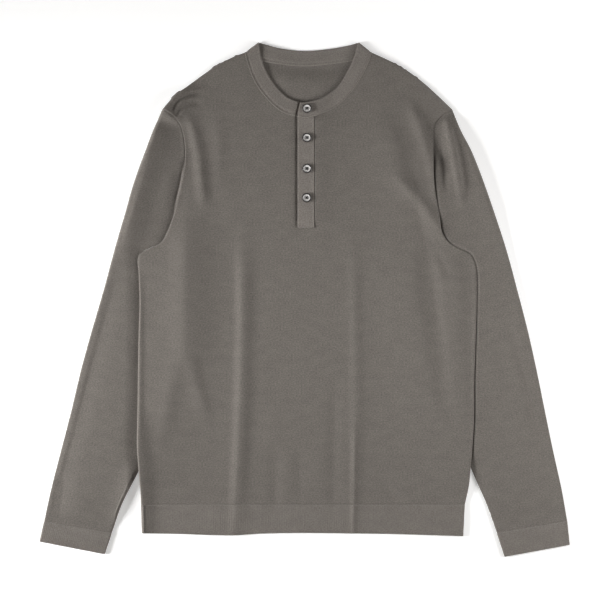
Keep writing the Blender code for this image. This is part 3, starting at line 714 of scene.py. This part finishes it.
def front_level(x, y):
    """Middle height of the front panel: over the back panel, with its loft and folds."""
    from_neck = np.hypot(x - NECK_CENTRE[0], y - NECK_CENTRE[1]) - NECK_RADIUS
    inside = smooth(0.0, LOFT_EDGE, np.minimum(distance(left_side, x, y), distance(right_side, x, y)))
    inside *= smooth(*LOFT_FOOT, y) * fade(*LOFT_TOP, y)
    loft = np.maximum(NECK_LOFT * fade(*NECK_FADE, from_neck), BODY_LOFT * inside)
    loft += HEM_LOFT * fade(*HEM_FADE, y)
    return BACK_LEVEL + front_lift(x, y) + FRONT_RISE + loft + creases(FRONT_CREASES, x, y)


neck_front = refine(NECK_FRONT, 1.0)
front_plan = body_plan(seam_line(neck_samples(NECK_FRONT, FRONT_STEP * 1.3, PLACKET_MARKS)), FRONT_STEP)
x, y = front_plan[..., 0], front_plan[..., 1]
low = back_level(x, y) + FRONT_RISE / 2
high = front_level(x, y) + CLOTH / 2 + armhole_relief(x, y) + placket_relief(x, y)
z = low + (high - low) * turned_edge(x, y)
cell_x = (x[1:, 1:] + x[1:, :-1]) / 2
cell_y = (y[1:, 1:] + y[:-1, 1:]) / 2
around_slot = (cell_x < slot_left) | (cell_x > slot_right) | (cell_y < slot_foot)
front_flat = front_plan + (z - high)[..., None] * UPRIGHT
body_front = surface("body_front_knit", np.stack((x, y, z), axis=-1), front_flat, jersey, keep=around_slot)
thicken(body_front, WALL)
finish_cloth(body_front, "body_front", (BODY_WIDTH, FRONT_LENGTH), FRONT_AREA)


# Sleeves
# Each is one jersey tube, sewn into its armhole and pressed flat. Its lower
# half runs beneath the body, and only its outer part shows beside it.
SLEEVE_STEP = 3.1
SLEEVE_WIDTH = 2 * 196.0
SLEEVE_LENGTH = 628.0
SLEEVE_AREA = 134000.0
SLEEVE_LOFT = 3.0
# How the left and the right sleeve rise beside the body, first below the armhole and then beside it:
# distance of the start, distance of full height, bulge, and a swell next to the body
SLEEVE_RISES = (
    ((-1.5, 18, 1.3, 0), (0, 46, 3, 0)),
    ((-1.2, 3.6, 2, 2.8), (3, 22, 1.4, 0)),
)
RISE_CHANGES = ((60.0, 140.0), (180.0, 236.0))  # heights between which the one turns into the other
SWELL_WIDTH = 15.0
SWELL_FOOT = (-260.0, -200.0)  # heights where that swell begins above the cuff
INNER_FALL = 0.12  # share by which the left sleeve lies lower beside the body
INNER_FALL_REACH = (-0.3, 0.9)  # shares of its half width, and heights, between which it falls to that
INNER_FALL_TOP = (40.0, 120.0)
INNER_CROWN = (-270.0, -200.0)  # heights between which its inner side goes over from full to round
CUFF_FADE = (-345.0, -300.0)  # heights where the folds run out into the cuff
CUFF_RISE = (-330.0, -270.0)  # and where the sleeve takes up the cuff's level
# How far a sleeve lies lower at the armhole seam: height, left, right
SEAM_DIPS = (
    (150, 0.9, 0.9),
    (190, 0.3, 0.9),
    (215, -0.9, 0.9),
    (245, -0.9, 0.2),
    (276, 0, 0),
)
SEAM_DIP_WIDTH = 4.0
SHOULDER_REACH = 16.0  # how far out a sleeve follows the folds of the front at the shoulder
SHOULDER_FOOT = (215.0, 250.0)  # heights where that begins
MOUTH = (0.6, 2.6)  # distances from the armhole over which a sleeve stays above the back panel
MOUTH_ROOM = 0.3
ARMHOLE_GAP = 0.1  # how far a sleeve stays outside the armhole's edge
# Inner edge of the sleeves where it shows: height, left, right
SLEEVE_INNER = (
    (-253, -242, 246),
    (-301, -266, 267),
    (-343, -281, 282),
)
# Outer edge of the sleeves: height, left, right
SLEEVE_OUTER = (
    (276.2, -206.7, 216.8),
    (246, -220, 229),
    (217, -231, 244),
    (188, -242, 256),
    (158, -252, 267),
    (129, -260, 277),
    (71, -277, 296),
    (12, -293, 312),
    (-46, -310, 327),
    (-104, -326, 340),
    (-163, -340, 352),
    (-221, -355, 364),
    (-280, -370, 377),
    (-325.5, -380, 385),
)
# Corners of the left and the right cuff at its seam and at its foot: outer x, outer y, inner x, inner y
CUFFS = (
    ((-380, -325.5, -281, -343), (-386.5, -355, -291, -373.5)),
    ((385, -325.5, 282, -343), (388.5, -359.7, 293, -377.3)),
)
BAND_FRONT_LEVEL = 3.4
# Folds of the sleeves: start x, y, middle x, y, end x, y, height, left width, right width
SLEEVE_CREASES = (
    # left sleeve, from the shoulder down
    (-212, 300, -237, 190, -284, 30, 7, 8, 25),
    (-196, 190, -197, 160, -206, 120, 0.8, 8, 8),
    (-256, 100, -324, -155, -391, -410, -1.4, 5, 15),
    (-356, -250, -363, -300, -370, -350, -1.7, 4, 18),
    (-238, -225, -256, -290, -284, -370, 3.6, 15, 8),
    # right sleeve, from the shoulder down
    (197, 300, 218, 213, 232, 122, 6.4, 6, 6),
    (184, 262, 199, 202, 207, 140, -4.2, 6, 7),
    (222, 290, 262, 170, 292, 60, 4, 20, 8),
    (294, -10, 329, -148, 366, -290, -2.2, 7, 4.5),
    (300, -30, 330, -160, 352, -300, 0.8, 20, 14),
)


def pressed_tube(plan, front, back, wall):
    """Middle points and outward normals of a tube pressed flat.

    Rows of the plan are stations along the tube. Each ring goes over the front layer,
    half round the far edge, back under the other layer and half round the near edge.
    The half turns are circles between the heights of the two layers.
    """
    parts = []

    def add(place, height, normal, up):
        height, up = (np.broadcast_to(value, place.shape[:2])[..., None] for value in (height, up))
        parts.append((np.concatenate((place, height), axis=-1), np.concatenate((normal, up), axis=-1)))

    def turned(edge, neighbour, angles):
        inward = unit(neighbour - edge)[:, None]
        top, bottom = front(*edge.T)[:, None], back(*edge.T)[:, None]
        radius = (top - bottom) / 2
        cos, sin = np.cos(angles), np.sin(angles)
        place = edge[:, None] + inward * (wall / 2 + radius * (1.0 - cos))[..., None]
        add(place, (top + bottom) / 2 + radius * sin, -inward * cos[:, None], sin)

    def layer(place, level, up):
        add(place, level(place[..., 0], place[..., 1]), np.zeros(place.shape), up)

    width = np.linalg.norm(plan[:, -1] - plan[:, 0], axis=1).min()
    spacing = width / (plan.shape[1] - 1)
    skip = 1 + math.ceil((wall / 2 + 1.4) / spacing)
    inner = plan[:, skip:-skip]
    angles = np.linspace(0.0, math.pi / 2, 7)
    turned(plan[:, 0], plan[:, skip], angles)
    layer(inner, front, 1.0)
    turned(plan[:, -1], plan[:, -1 - skip], angles[::-1])
    turned(plan[:, -1], plan[:, -1 - skip], -angles[1:])
    layer(inner[:, ::-1], back, -1.0)
    turned(plan[:, 0], plan[:, skip], -angles[:0:-1])
    points, normals = zip(*parts)
    return np.concatenate(points, axis=1), np.concatenate(normals, axis=1)


RIM_LEVELS = np.array((1.0, 0.75, 0.35, 0.0, -0.35, -0.75, -1.0))[:, None, None]
RIM_SET = 0.75  # share of its radius by which a rim stays inside the tube's end


def tube_wall(name, middle, normal, wall, turn, material, ribs=0.0, rib_pitch=1.0):
    """Closed wall round a tube's middle surface, with round rims at its two ends.

    At each place round the tube the section runs along the outer face, over the far rim,
    back along the inner face and over the near rim. ribs is the height of the ridges,
    which follow the tube from end to end, and turn is the angle of the stitch columns.
    """
    steps = np.linalg.norm(np.diff(middle, axis=1), axis=2)
    girth = np.hstack((np.zeros((len(middle), 1)), np.cumsum(steps, axis=1)))
    thick = (wall + ribs * np.cos(2 * math.pi * girth / rib_pitch)[..., None]) / 2

    def over_rim(end, neighbour):
        out = unit(middle[end] - middle[neighbour]) * (np.sqrt(1.0 - RIM_LEVELS**2) - RIM_SET) * wall / 2
        return middle[end] + normal[end] * thick[end] * RIM_LEVELS + out

    outer = (middle + normal * thick)[1:-1]
    inner = (middle - normal * thick)[-2:0:-1]
    points = np.concatenate((outer, over_rim(-1, -2), inner, over_rim(0, 1)[::-1]))
    cos, sin = math.cos(turn), math.sin(turn)
    flat = np.stack((points[..., 0] * cos + points[..., 1] * sin,
                     points[..., 1] * cos - points[..., 0] * sin), axis=-1)
    facing = np.concatenate((normal[1:-1], np.repeat(normal[-1:], len(RIM_LEVELS), axis=0),
                             normal[-2:0:-1], np.repeat(normal[:1], len(RIM_LEVELS), axis=0)))
    flat += points[..., 2:] * (1.0 - np.abs(facing[..., 2:])) * UPRIGHT
    return surface(name, points, flat, material, round_rows=True, round_columns=True)


def sleeve_plan(hand):
    """Grid over the left (0) or right (1) sleeve, between its armhole, its cuff and both long edges.

    Each place is the sum of the straight joins of both pairs of edges, less the join of
    the four corners. Rows run across the sleeve, from the armhole to the cuff.
    """
    column = hand + 1
    edge = refine(BODY_SIDES, 1.0)
    armhole = edge[edge[:, 0] >= LAST_OPEN_ROW][::-1][:, (column, 0)]
    armhole[:, 0] += (-ARMHOLE_GAP, ARMHOLE_GAP)[hand]
    beneath_body = [(row[column], row[0]) for row in SLEEVE_HIDDEN[1:3]]
    start = np.vstack((armhole, beneath_body))
    cuff = np.reshape(CUFFS[hand][0], (2, 2)) + (0.0, SEAM_GAP / 2)
    outer = refine([(row[column], row[0]) for row in SLEEVE_OUTER], 2.0)
    inner = refine([(row[column], row[0]) for row in SLEEVE_HIDDEN[2:] + SLEEVE_INNER], 2.0)
    outer[0], outer[-1] = start[0], cuff[0]
    inner[0], inner[-1] = start[-1], cuff[1]
    t = np.linspace(0.0, 1.0, round(travel(start)[-1] / SLEEVE_STEP) + 1)
    start = spread(start, t)
    t = t[None, :, None]
    s = np.linspace(0.0, 1.0, round(travel(outer)[-1] / SLEEVE_STEP) + 1)
    outer = spread(outer, s)[:, None]
    inner = spread(inner, s)[:, None]
    s = s[:, None, None]
    cuff_line = cuff[0] + (cuff[1] - cuff[0]) * t
    corners = (1 - s) * ((1 - t) * start[0] + t * start[-1]) + s * cuff_line
    return (1 - s) * start[None] + s * cuff_line + (1 - t) * outer + t * inner - corners


def sleeve_front(hand, plan):
    """Function of x and y that gives the middle height of a sleeve's upper layer."""
    body_edge = (left_side, right_side)[hand]
    outer, inner = plan[:, 0], plan[:, -1]
    middle = (outer + inner) / 2
    axis = np.column_stack((middle[:, 1], middle[:, 0], np.linalg.norm(outer - inner, axis=1) / 2))
    axis = axis[np.argsort(axis[:, 0])]

    def front(x, y):
        past_edge = (x - np.interp(y, *body_edge[:, ::-1].T)) * (-1, 1)[hand]
        clear = distance(body_edge, x, y) * np.sign(past_edge)
        centre, half_width = at_height(axis, y)
        across = (x - centre) / half_width
        if hand == 0:
            rounded = np.minimum(across, across * smooth(*INNER_CROWN, y))
            fall = 1.0 - INNER_FALL * smooth(*INNER_FALL_REACH, across) * fade(*INNER_FALL_TOP, y)
            crown = np.clip(1.0 - rounded**6, 0.0, 1.0) * fall
        else:
            crown = np.clip(1.0 - across**6, 0.0, 1.0)
        change = smooth(*RISE_CHANGES[hand], y)
        begin, full, bulge, swell = (low + (high - low) * change for low, high in zip(*SLEEVE_RISES[hand]))
        share = 1.0 - (1.0 - np.clip((clear - begin) / (full - begin), 0.0, 1.0))**bulge
        swell = swell * np.exp(-np.maximum(clear, 0.0) / SWELL_WIDTH) * smooth(*SWELL_FOOT, y)
        rise = (SLEEVE_LOFT * crown + swell + creases(SLEEVE_CREASES, x, y)) * share * smooth(*CUFF_FADE, y)
        cuff_rise = (BAND_FRONT_LEVEL - BACK_LEVEL - FRONT_RISE) * fade(*CUFF_RISE, y)
        beside_seam = smooth(FOLDED_BELOW, LAST_OPEN_ROW, y)
        dip = at_height(SEAM_DIPS, y)[hand] * np.exp(-(clear / SEAM_DIP_WIDTH)**2) * beside_seam
        shoulder = np.maximum(creases(FRONT_CREASES, x, y), 0.0) * smooth(*SHOULDER_FOOT, y)
        shoulder *= np.exp(-(clear / SHOULDER_REACH)**2)
        level = BACK_LEVEL + FRONT_RISE + np.maximum(rise, cuff_rise) - dip + shoulder
        mouth = np.maximum(back_level(x, y) + MOUTH_ROOM - level, 0.0) * fade(*MOUTH, clear)
        return level + mouth * beside_seam

    return front


def sleeve_back(x, y):
    """Middle height of a sleeve's lower layer, on the floor."""
    return np.full_like(x, BACK_LEVEL)


for hand, side_name in enumerate(("left", "right")):
    plan = sleeve_plan(hand)
    front = sleeve_front(hand, plan)
    lean = (plan[-1, 0] + plan[-1, -1] - plan[0, 0] - plan[0, -1]) / 2
    middle, normal = pressed_tube(plan if hand == 0 else plan[:, ::-1], front, sleeve_back, CLOTH)
    turn = math.atan2(lean[0], -lean[1])
    sleeve = tube_wall(f"sleeve_{side_name}_knit", middle, normal, WALL, turn, jersey)
    finish_cloth(sleeve, f"sleeve_{side_name}", (SLEEVE_WIDTH, SLEEVE_LENGTH), SLEEVE_AREA)


# Cuffs and hem band
# Doubled bands in fine one-and-one rib, linked to the edges of the sleeves and
# of the body. Each is a tube whose foot is a fold, so its rims are round.
BAND = 2.0
RIB_PITCH = 2.6
RIB_HEIGHT = 0.22
BAND_BACK_LEVEL = (BAND + RIB_HEIGHT) / 2
CUFF_FLAT = (200.0, 34.0)
CUFF_AREA = 200.0 * 32.0
HEM_FLAT = (944.0, 43.0)
HEM_AREA = 944.0 * 42.0
RIB_COLOUR = (0.162, 0.147, 0.132)
STRIP_COLOUR = (0.180, 0.163, 0.147)
# Foot of the hem band: x, height
HEM_FOOT = (
    (-236.8, -342.5),
    (-181, -343.8),
    (-106, -345.8),
    (-60, -343.2),
    (89, -343.2),
    (169, -345),
    (232.9, -347.3),
)
rib = knit("rib", RIB_COLOUR, wale=RIB_PITCH / 2, course=1.15, ribbed=True, relief=0.3)
strip_rib = knit("strip_rib", STRIP_COLOUR, wale=RIB_PITCH / 2, course=1.15, ribbed=True, relief=0.3)


def band_front(x, y):
    """Front layer of a band, where the body's folds run out."""
    return BAND_FRONT_LEVEL + creases(FRONT_CREASES, x, y)


def band_back(x, y):
    """Back layer of a band."""
    return np.full_like(x, BAND_BACK_LEVEL)


def band(name, node, seam, foot, turn, flat, area):
    """Doubled band between its seam line and its foot, both from left to right."""
    plan = seam + (foot - seam) * np.linspace(0.0, 1.0, 15)[:, None, None]
    middle, normal = pressed_tube(plan, band_front, band_back, BAND)
    piece = tube_wall(name, middle, normal, BAND, turn, rib, RIB_HEIGHT, RIB_PITCH)
    finish_cloth(piece, node, flat, area)


def ridges(run):
    """Height of the rib's round ridges at a distance across them."""
    return RIB_HEIGHT / 2 * np.cos(2 * math.pi * run / RIB_PITCH)


def carried(path, sides, radius):
    """Tube along a path, its section a circle square to the path, with a radius for each place."""
    heading = unit(np.gradient(path, axis=0))
    across = unit(np.cross(heading, (0.0, 0.0, 1.0)))
    above = np.cross(across, heading)
    angle = np.arange(sides) * 2 * math.pi / sides
    ring = across[:, None] * np.cos(angle)[:, None] + above[:, None] * np.sin(angle)[:, None]
    return path[:, None] + ring * np.reshape(radius, (-1, 1, 1))


STITCH = 2.0
STITCH_RADIUS = 0.6
STITCH_SWELL = 0.12  # share by which the yarn is thinner between two stitches
SEAM_RISE = 0.78  # height of a linking row over the middle of its band
# The linking yarn is painted lighter than the cloth beside it: a painted highlight that draws a light line
# along each seam.
LINKING_HIGHLIGHT_COLOUR = (0.235, 0.214, 0.192)
BAND_LINKING_HIGHLIGHT_COLOUR = (0.185, 0.168, 0.151)


def chain(name, path, yarn):
    """Row of linking stitches: a yarn along a path that swells once in each stitch."""
    length = travel(path)[-1]
    stitches = round(length / STITCH)
    shares = np.linspace(0.0, 1.0, stitches * 6 + 1)
    swell = 1.0 - STITCH_SWELL * (1.0 - np.abs(np.sin(math.pi * shares * stitches)))
    points = carried(spread(path, shares), 6, STITCH_RADIUS * swell)
    flat = np.zeros((*points.shape[:2], 2))
    flat[..., 1] = (shares * length)[:, None]
    row = surface(name, points, flat, yarn, round_columns=True, caps=True)
    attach(row, "root")


def linked(name, seam):
    """Linking row along a band's seam, on its front layer."""
    path = seam + (0.0, SEAM_GAP / 2)
    chain(name, np.column_stack((path, band_front(*path.T) + SEAM_RISE)), band_linking)


# Linking materials in those lighter colours, which carry the painted highlight along the seams.
linking = knit("linking", LINKING_HIGHLIGHT_COLOUR, wale=0.6, course=0.5, ribbed=False, relief=0.1)
band_linking = knit("band_linking", BAND_LINKING_HIGHLIGHT_COLOUR, wale=0.6, course=0.5, ribbed=False, relief=0.1)

for side_name, corners in zip(("left", "right"), CUFFS):
    # Corners from left to right, at the seam and at the foot
    seam_ends, foot_ends = (np.array(sorted(np.reshape(row, (2, 2)).tolist())) for row in corners)
    seam_ends -= (0.0, SEAM_GAP / 2)
    t = np.linspace(0.0, 1.0, round(np.linalg.norm(seam_ends[1] - seam_ends[0]) * 4 / RIB_PITCH))[:, None]
    cuff_seam = seam_ends[0] + (seam_ends[1] - seam_ends[0]) * t
    cuff_foot = foot_ends[0] + (foot_ends[1] - foot_ends[0]) * t
    down = (cuff_foot - cuff_seam).mean(axis=0)
    band(f"cuff_{side_name}_rib", f"cuff_{side_name}", cuff_seam, cuff_foot, math.atan2(down[0], -down[1]),
         CUFF_FLAT, CUFF_AREA)
    linked(f"cuff_{side_name}_seam", cuff_seam[2:-2])

hem_foot = refine(HEM_FOOT, 1.0)
hem_foot = spread(hem_foot, np.linspace(0.0, 1.0, round(travel(hem_foot)[-1] * 4 / RIB_PITCH)))
hem_height, hem_left, hem_right = BODY_SIDES[0]
hem_share = (hem_foot[:, 0] - hem_foot[0, 0]) / (hem_foot[-1, 0] - hem_foot[0, 0])
hem_seam = np.column_stack((hem_left + (hem_right - hem_left) * hem_share,
                            np.full(len(hem_foot), hem_height + CLOTH / 2 - SEAM_GAP)))
band("hem_band_rib", "hem_band", hem_seam, hem_foot, 0.0,
     HEM_FLAT, HEM_AREA)
linked("hem_seam", hem_seam[3:-3])


# Neckband
# A doubled strip of the same rib, linked round the neck. It lies flat, turned
# over at both neck points, and its two ends lap at the placket.
NECK_LEVEL = 4.3
NECK_LAP = BAND + SEAM_GAP  # what the upper end gains over the under one
NECK_LAP_RUN = (20.0, 52.0)  # x where that rise runs out
NECK_REACH = CLOTH / 2 - SEAM_GAP
NECK_SKEW = 1.6  # how far a seam edge moves out where the band turns over
NECK_TURN = np.linspace(math.pi / 2, -math.pi / 2, 15)
BACK_SWELL = 1.2  # how far the back of the band stands up beside its left fold
BACK_SWELL_RUN = (-78.0, -62.0)  # x where that begins and ends
BACK_SWELL_END = (-52.0, -10.0)
NECK_TILT = 0.7  # how far the free edge sinks on the left
NECK_TILT_TOP = (322.0, 342.0)  # heights and x where that ends
NECK_TILT_END = (-40.0, -14.0)
BAND_DIP = 1.3  # how far the under end sinks before the upper one, and over what width
BAND_DIP_WIDTH = 1.9
NECK_DEPTH = 22.0
STRIP_RIM = 0.3  # share by which a strip is thicker near its free edge
NECK_GROOVE = 0.35  # and the neckband thinner beside its seam
LINK_OUT = 0.3  # place of the linking rows: outside the seam edge, and on either face
LINK_RISE = 0.85
LINK_DROP = 0.6


def neck_sections():
    """Seam edge, free edge and outward normals of the band's sections, from its under end to its upper one.

    On the flat stretches the normal is straight up in front and straight down at the
    back. At each neck point the section turns through a half circle between them.
    """
    step = RIB_PITCH / 4
    front = refine(NECK_FRONT, step)
    back = refine(NECK_BACK, step)
    radius = (NECK_LEVEL - BAND_BACK_LEVEL) / 2
    centre = (NECK_LEVEL + BAND_BACK_LEVEL) / 2
    seams, free_edges, normals = [], [], []

    def add(rows, reach, shift, height, normal):
        seam, free = rows[:, :2], rows[:, 2:]
        seam = seam + unit(seam - free) * reach
        seams.append(np.column_stack((seam + shift, height)))
        free_edges.append(np.column_stack((free + shift, height)))
        normals.append(np.tile(normal, (len(rows), 1)))

    def add_fold(row, side, angles):
        out = unit(np.array((row[3] - row[1], row[0] - row[2])) * side)
        for angle in angles:
            shift = out * (radius * (math.cos(angle) - 1.0) - BAND / 2)
            add(row[None], NECK_REACH + NECK_SKEW * math.sin(angle), shift,
                [centre + radius * math.sin(angle)], (*(out * math.cos(angle)), math.sin(angle)))

    def away(rows, row):
        return np.linalg.norm(rows - row, axis=1) > (radius + BAND / 2) * 1.5

    left = front[(front[:, 0] < PLACKET_RIGHT) & away(front, front[0])][::-1]
    right = front[(front[:, 0] > PLACKET_LEFT) & away(front, front[-1])][::-1]
    behind = back[away(back, back[0]) & away(back, back[-1])]
    flat = np.zeros(2)
    dip = BAND_DIP * np.exp(-((left[:, 0] - PLACKET_LEFT + 1.2) / BAND_DIP_WIDTH)**2)
    add(left, NECK_REACH, flat, NECK_LEVEL - dip, (0.0, 0.0, 1.0))
    free_edges[-1][:, 2] -= NECK_TILT * fade(*NECK_TILT_TOP, left[:, 1]) * fade(*NECK_TILT_END, left[:, 0])
    add_fold(front[0], -1.0, NECK_TURN)
    swell = BACK_SWELL * smooth(*BACK_SWELL_RUN, behind[:, 0]) * fade(*BACK_SWELL_END, behind[:, 0])
    add(behind, NECK_REACH, flat, BAND_BACK_LEVEL + swell, (0.0, 0.0, -1.0))
    add_fold(front[-1], 1.0, NECK_TURN[::-1])
    lap = NECK_LAP * fade(*NECK_LAP_RUN, right[:, 0])
    add(right, NECK_REACH, flat, NECK_LEVEL + lap, (0.0, 0.0, 1.0))
    return np.vstack(seams), np.vstack(free_edges), np.vstack(normals)


def strip_section(steps, groove=0.0):
    """Flat loop with round ends, the section of a doubled strip: share across it, share of half its wall.

    The wall swells near its free edge and thins by groove beside its seam.
    """
    across = np.linspace(0.02, 0.98, steps)
    bulge = 1.0 - 0.25 * np.abs(2.0 * across - 1.0)**6
    bulge += STRIP_RIM * np.exp(-((across - 0.93) / 0.05)**2)
    bulge -= groove * np.exp(-((across - 0.13) / 0.045)**2)
    angles = np.linspace(math.pi / 2, -math.pi / 2, 7)[1:-1]
    far = np.column_stack((0.98 + 0.02 * np.cos(angles), 0.75 * np.sin(angles)))
    near = np.column_stack((0.02 - 0.02 * np.cos(angles), -0.75 * np.sin(angles)))
    over = np.column_stack((across, bulge))
    under = np.column_stack((across[::-1], -bulge[::-1]))
    return np.vstack((over, far, under, near))


seams, free_edges, normals = neck_sections()
across, bulge = strip_section(25, NECK_GROOVE).T
gone = travel((seams + free_edges) / 2)
half = BAND / 2 * bulge + ridges(gone)[:, None] * np.sign(bulge)
neck_points = seams[:, None] + (free_edges - seams)[:, None] * across[:, None]
neck_points += normals[:, None] * half[..., None]
neck_width = np.linalg.norm(free_edges - seams, axis=1)[:, None]
neck_flat = np.stack((np.broadcast_to(gone[:, None], neck_points.shape[:2]), across * neck_width), axis=-1)
neckband = surface("neckband_rib", neck_points, neck_flat, strip_rib, round_columns=True, caps=True)
finish_cloth(neckband, "neckband", (gone[-1], NECK_DEPTH), gone[-1] * (NECK_DEPTH - 1.0))
seam_path = seams + unit(seams - free_edges) * LINK_OUT
outside = seam_path + normals * LINK_RISE
outside[:, 2] = np.maximum(outside[:, 2], STITCH_RADIUS)
chain("neck_seam_outside", outside, linking)
chain("neck_seam_inside", seam_path - normals * LINK_DROP, linking)


# Plackets
# Two doubled strips down the front opening. The under one lies in the slot of
# the front panel, the upper one laps over it and carries the buttons.
UPPER_RISE = CLOTH / 2 + SEAM_GAP + BAND / 2
PLACKET_LENGTH = 162.0
STITCH_INSET = 1.0  # how far its stitches run inside the upper placket's right edge and ends
FOOT_INSET = 1.5
TOP_INSET = 4.0


def placket(name, node, left, right, foot, rise, wall):
    """Doubled strip over the front panel's own height, with round long edges and ribs along it."""
    across, bulge = strip_section(41).T
    x = left + (right - left) * across
    top = np.interp(np.clip(x, left, right), neck_front[:, 0], neck_front[:, 1]) - CLOTH / 2
    y = foot + (top - foot) * np.linspace(0.0, 1.0, 90)[:, None]
    x = np.broadcast_to(x, y.shape)
    z = front_level(x, y) + rise + wall / 2 * bulge + ridges(x) * np.sign(bulge)
    flat = np.stack((x, y), axis=-1)
    piece = surface(name, np.stack((x, y, z), axis=-1), flat, strip_rib, round_columns=True, caps=True)
    width = right - left
    area = width * (PLACKET_LENGTH - 2.0)
    finish_cloth(piece, node, (width, PLACKET_LENGTH), area)


placket("placket_under_rib", "placket_under", slot_left + SEAM_GAP, slot_right - SEAM_GAP,
        slot_foot + SEAM_GAP, 0.0, CLOTH)
placket("placket_upper_rib", "placket_upper", PLACKET_LEFT, PLACKET_RIGHT, PLACKET_FOOT, UPPER_RISE, BAND)
y = np.linspace(PLACKET_FOOT + FOOT_INSET, NECK_FRONT[5][1] - TOP_INSET, 80)
x = np.full_like(y, PLACKET_RIGHT - STITCH_INSET)
z = front_level(x, y) + UPPER_RISE + LINK_RISE
chain("placket_edge_stitches", np.column_stack((x, y, z)), linking)


# Buttons
# Turned from pale shell with a dished middle and four holes, and sewn on with
# dark thread that crosses between the holes. The rim is painted nearly black: a smoky shell edge with
# painted shade and a painted dark reflection.
SHELL_PALE = (0.78, 0.76, 0.74)
SMOKE_AND_SHADE = (0.030, 0.026, 0.026)
SMOKE_AND_SHADE_EDGE = (4.6, 5.3)  # radii between which the pale face turns to the smoky rim and its painted shade
RIM = 1.1  # width of the round rim
DISH = (3.9, 5.0)  # radii between which the face sinks, and how deep
DISH_DEPTH = 0.85
HOLE_RADIUS = 1.1
HOLE_PITCH = 1.3  # from the button's middle to a hole's, across and along
HOLE_DEPTH = 1.3
THREAD_COLOUR = (0.010, 0.009, 0.009)
THREAD_RADIUS = 0.72
THREAD_DROP = 1.35  # how far a strand's ends lie below the rim, and how far its middle rises
THREAD_ARCHES = (0.95, 1.25)


def shell_material():
    """Polished shell: pale in the middle and nearly black towards the rim, where smoke, painted shade and a
    painted dark reflection meet, with cloudy bands of light and dark.
    """
    material, shader, nodes = new_material("shell", 0.18)
    flat = nodes.node("ShaderNodeUVMap", {}, uv_map="flat")
    radius = nodes.node("ShaderNodeSeparateXYZ", {"Vector": flat}) / MM
    place = nodes.node("ShaderNodeTexCoord", {}, output=3)
    cloud = nodes.node("ShaderNodeTexNoise", {"Vector": place, "Scale": 260.0, "Detail": 3.0,
                                              "Distortion": 1.2})
    span = {"Value": radius + (cloud - 0.5) * 0.9, "From Min": SMOKE_AND_SHADE_EDGE[0], "From Max": SMOKE_AND_SHADE_EDGE[1]}
    edge = nodes.node("ShaderNodeMapRange", span, interpolation_type="SMOOTHSTEP")
    pearl = cloud.mix(tint(SHELL_PALE, 0.62), tint(SHELL_PALE))
    # Past the edge radii the shell is painted nearly black: its own smoky rim together with painted shade
    # and a painted dark reflection round the sloped edge.
    feed(shader, "Base Color", edge.mix(pearl, tint(SMOKE_AND_SHADE)))
    shader.inputs["Coat Weight"].default_value = 0.5
    shader.inputs["Coat Roughness"].default_value = 0.08
    return material


def thread_material():
    """Dark sewing thread with a fine twist."""
    material, shader, nodes = new_material("thread", 0.7)
    place = nodes.node("ShaderNodeTexCoord", {}, output=3)
    twist = nodes.node("ShaderNodeTexWave", {"Vector": place, "Scale": 900.0, "Distortion": 1.0})
    feed(shader, "Base Color", twist.mix(tint(THREAD_COLOUR), tint(THREAD_COLOUR, 1.5)))
    bump = nodes.node("ShaderNodeBump", {"Height": twist, "Strength": 0.5, "Distance": 0.05 * MM})
    feed(shader, "Normal", bump)
    return material


def button_face(wide, thick):
    """Rings of a button about its middle, from that of the underside round the rim to that of the dish.

    The rim is a half ellipse, the dish a smooth step down, and each hole a well of the
    same step round its own middle.
    """
    rim_angles = np.linspace(-math.pi / 2, math.pi / 2, 9)
    inward = np.linspace(wide - RIM - 0.3, 0.06, 30)
    rim_height = thick / 2 * (1.0 + np.sin(rim_angles))
    radii = np.concatenate(((0.06,), wide - RIM + RIM * np.cos(rim_angles), inward))
    heights = np.concatenate(((0.0,), rim_height, thick - DISH_DEPTH * fade(*DISH, inward)))
    turn = np.arange(72) * 2 * math.pi / 72
    x = radii[:, None] * np.cos(turn)
    y = radii[:, None] * np.sin(turn)
    z = np.broadcast_to(heights[:, None], x.shape)
    on_face = (np.arange(len(radii)) > len(rim_angles))[:, None]
    for hole_x, hole_y in ((-1, -1), (-1, 1), (1, -1), (1, 1)):
        from_hole = np.hypot(x - hole_x * HOLE_PITCH, y - hole_y * HOLE_PITCH)
        z = z - HOLE_DEPTH * fade(HOLE_RADIUS - 0.2, HOLE_RADIUS + 0.15, from_hole) * on_face
    flat = np.stack((np.broadcast_to(radii[:, None], x.shape), np.broadcast_to(turn, x.shape)), axis=-1)
    return np.stack((x, y, z), axis=-1), flat


shell = shell_material()
thread = thread_material()
for number in range(1, 5):
    low_corner, high_corner = (np.array(corner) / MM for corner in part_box(f"button_{number}"))
    button_x, button_y = (low_corner + high_corner)[:2] / 2
    wide = (high_corner[0] - low_corner[0]) / 2
    thick = high_corner[2] - low_corner[2]
    seat = front_level(np.full(3, button_x), button_y + np.array((-wide, 0.0, wide))).max() + UPPER_RISE
    base = max(seat + BAND / 2, low_corner[2]) + 0.1
    rings, flat = button_face(wide, thick)
    place = np.array((button_x, button_y, base))
    button = surface(f"button_{number}_shell", rings + place, flat, shell, round_columns=True, caps=True)
    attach(button, "root")
    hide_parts(f"button_{number}")
    t = np.linspace(-1.0, 1.0, 17)
    for count, (lean, arch) in enumerate(zip((1.0, -1.0), THREAD_ARCHES), 1):
        height = thick - THREAD_DROP + arch * (1.0 - t**6)
        path = np.column_stack((t * HOLE_PITCH, lean * t * HOLE_PITCH, height)) + place
        points = carried(path, 10, THREAD_RADIUS)
        strand = surface(f"button_{number}_thread_{count}", points, np.zeros((*points.shape[:2], 2)), thread,
                         round_columns=True, caps=True)
        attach(strand, "root")

bpy.context.view_layer.update()
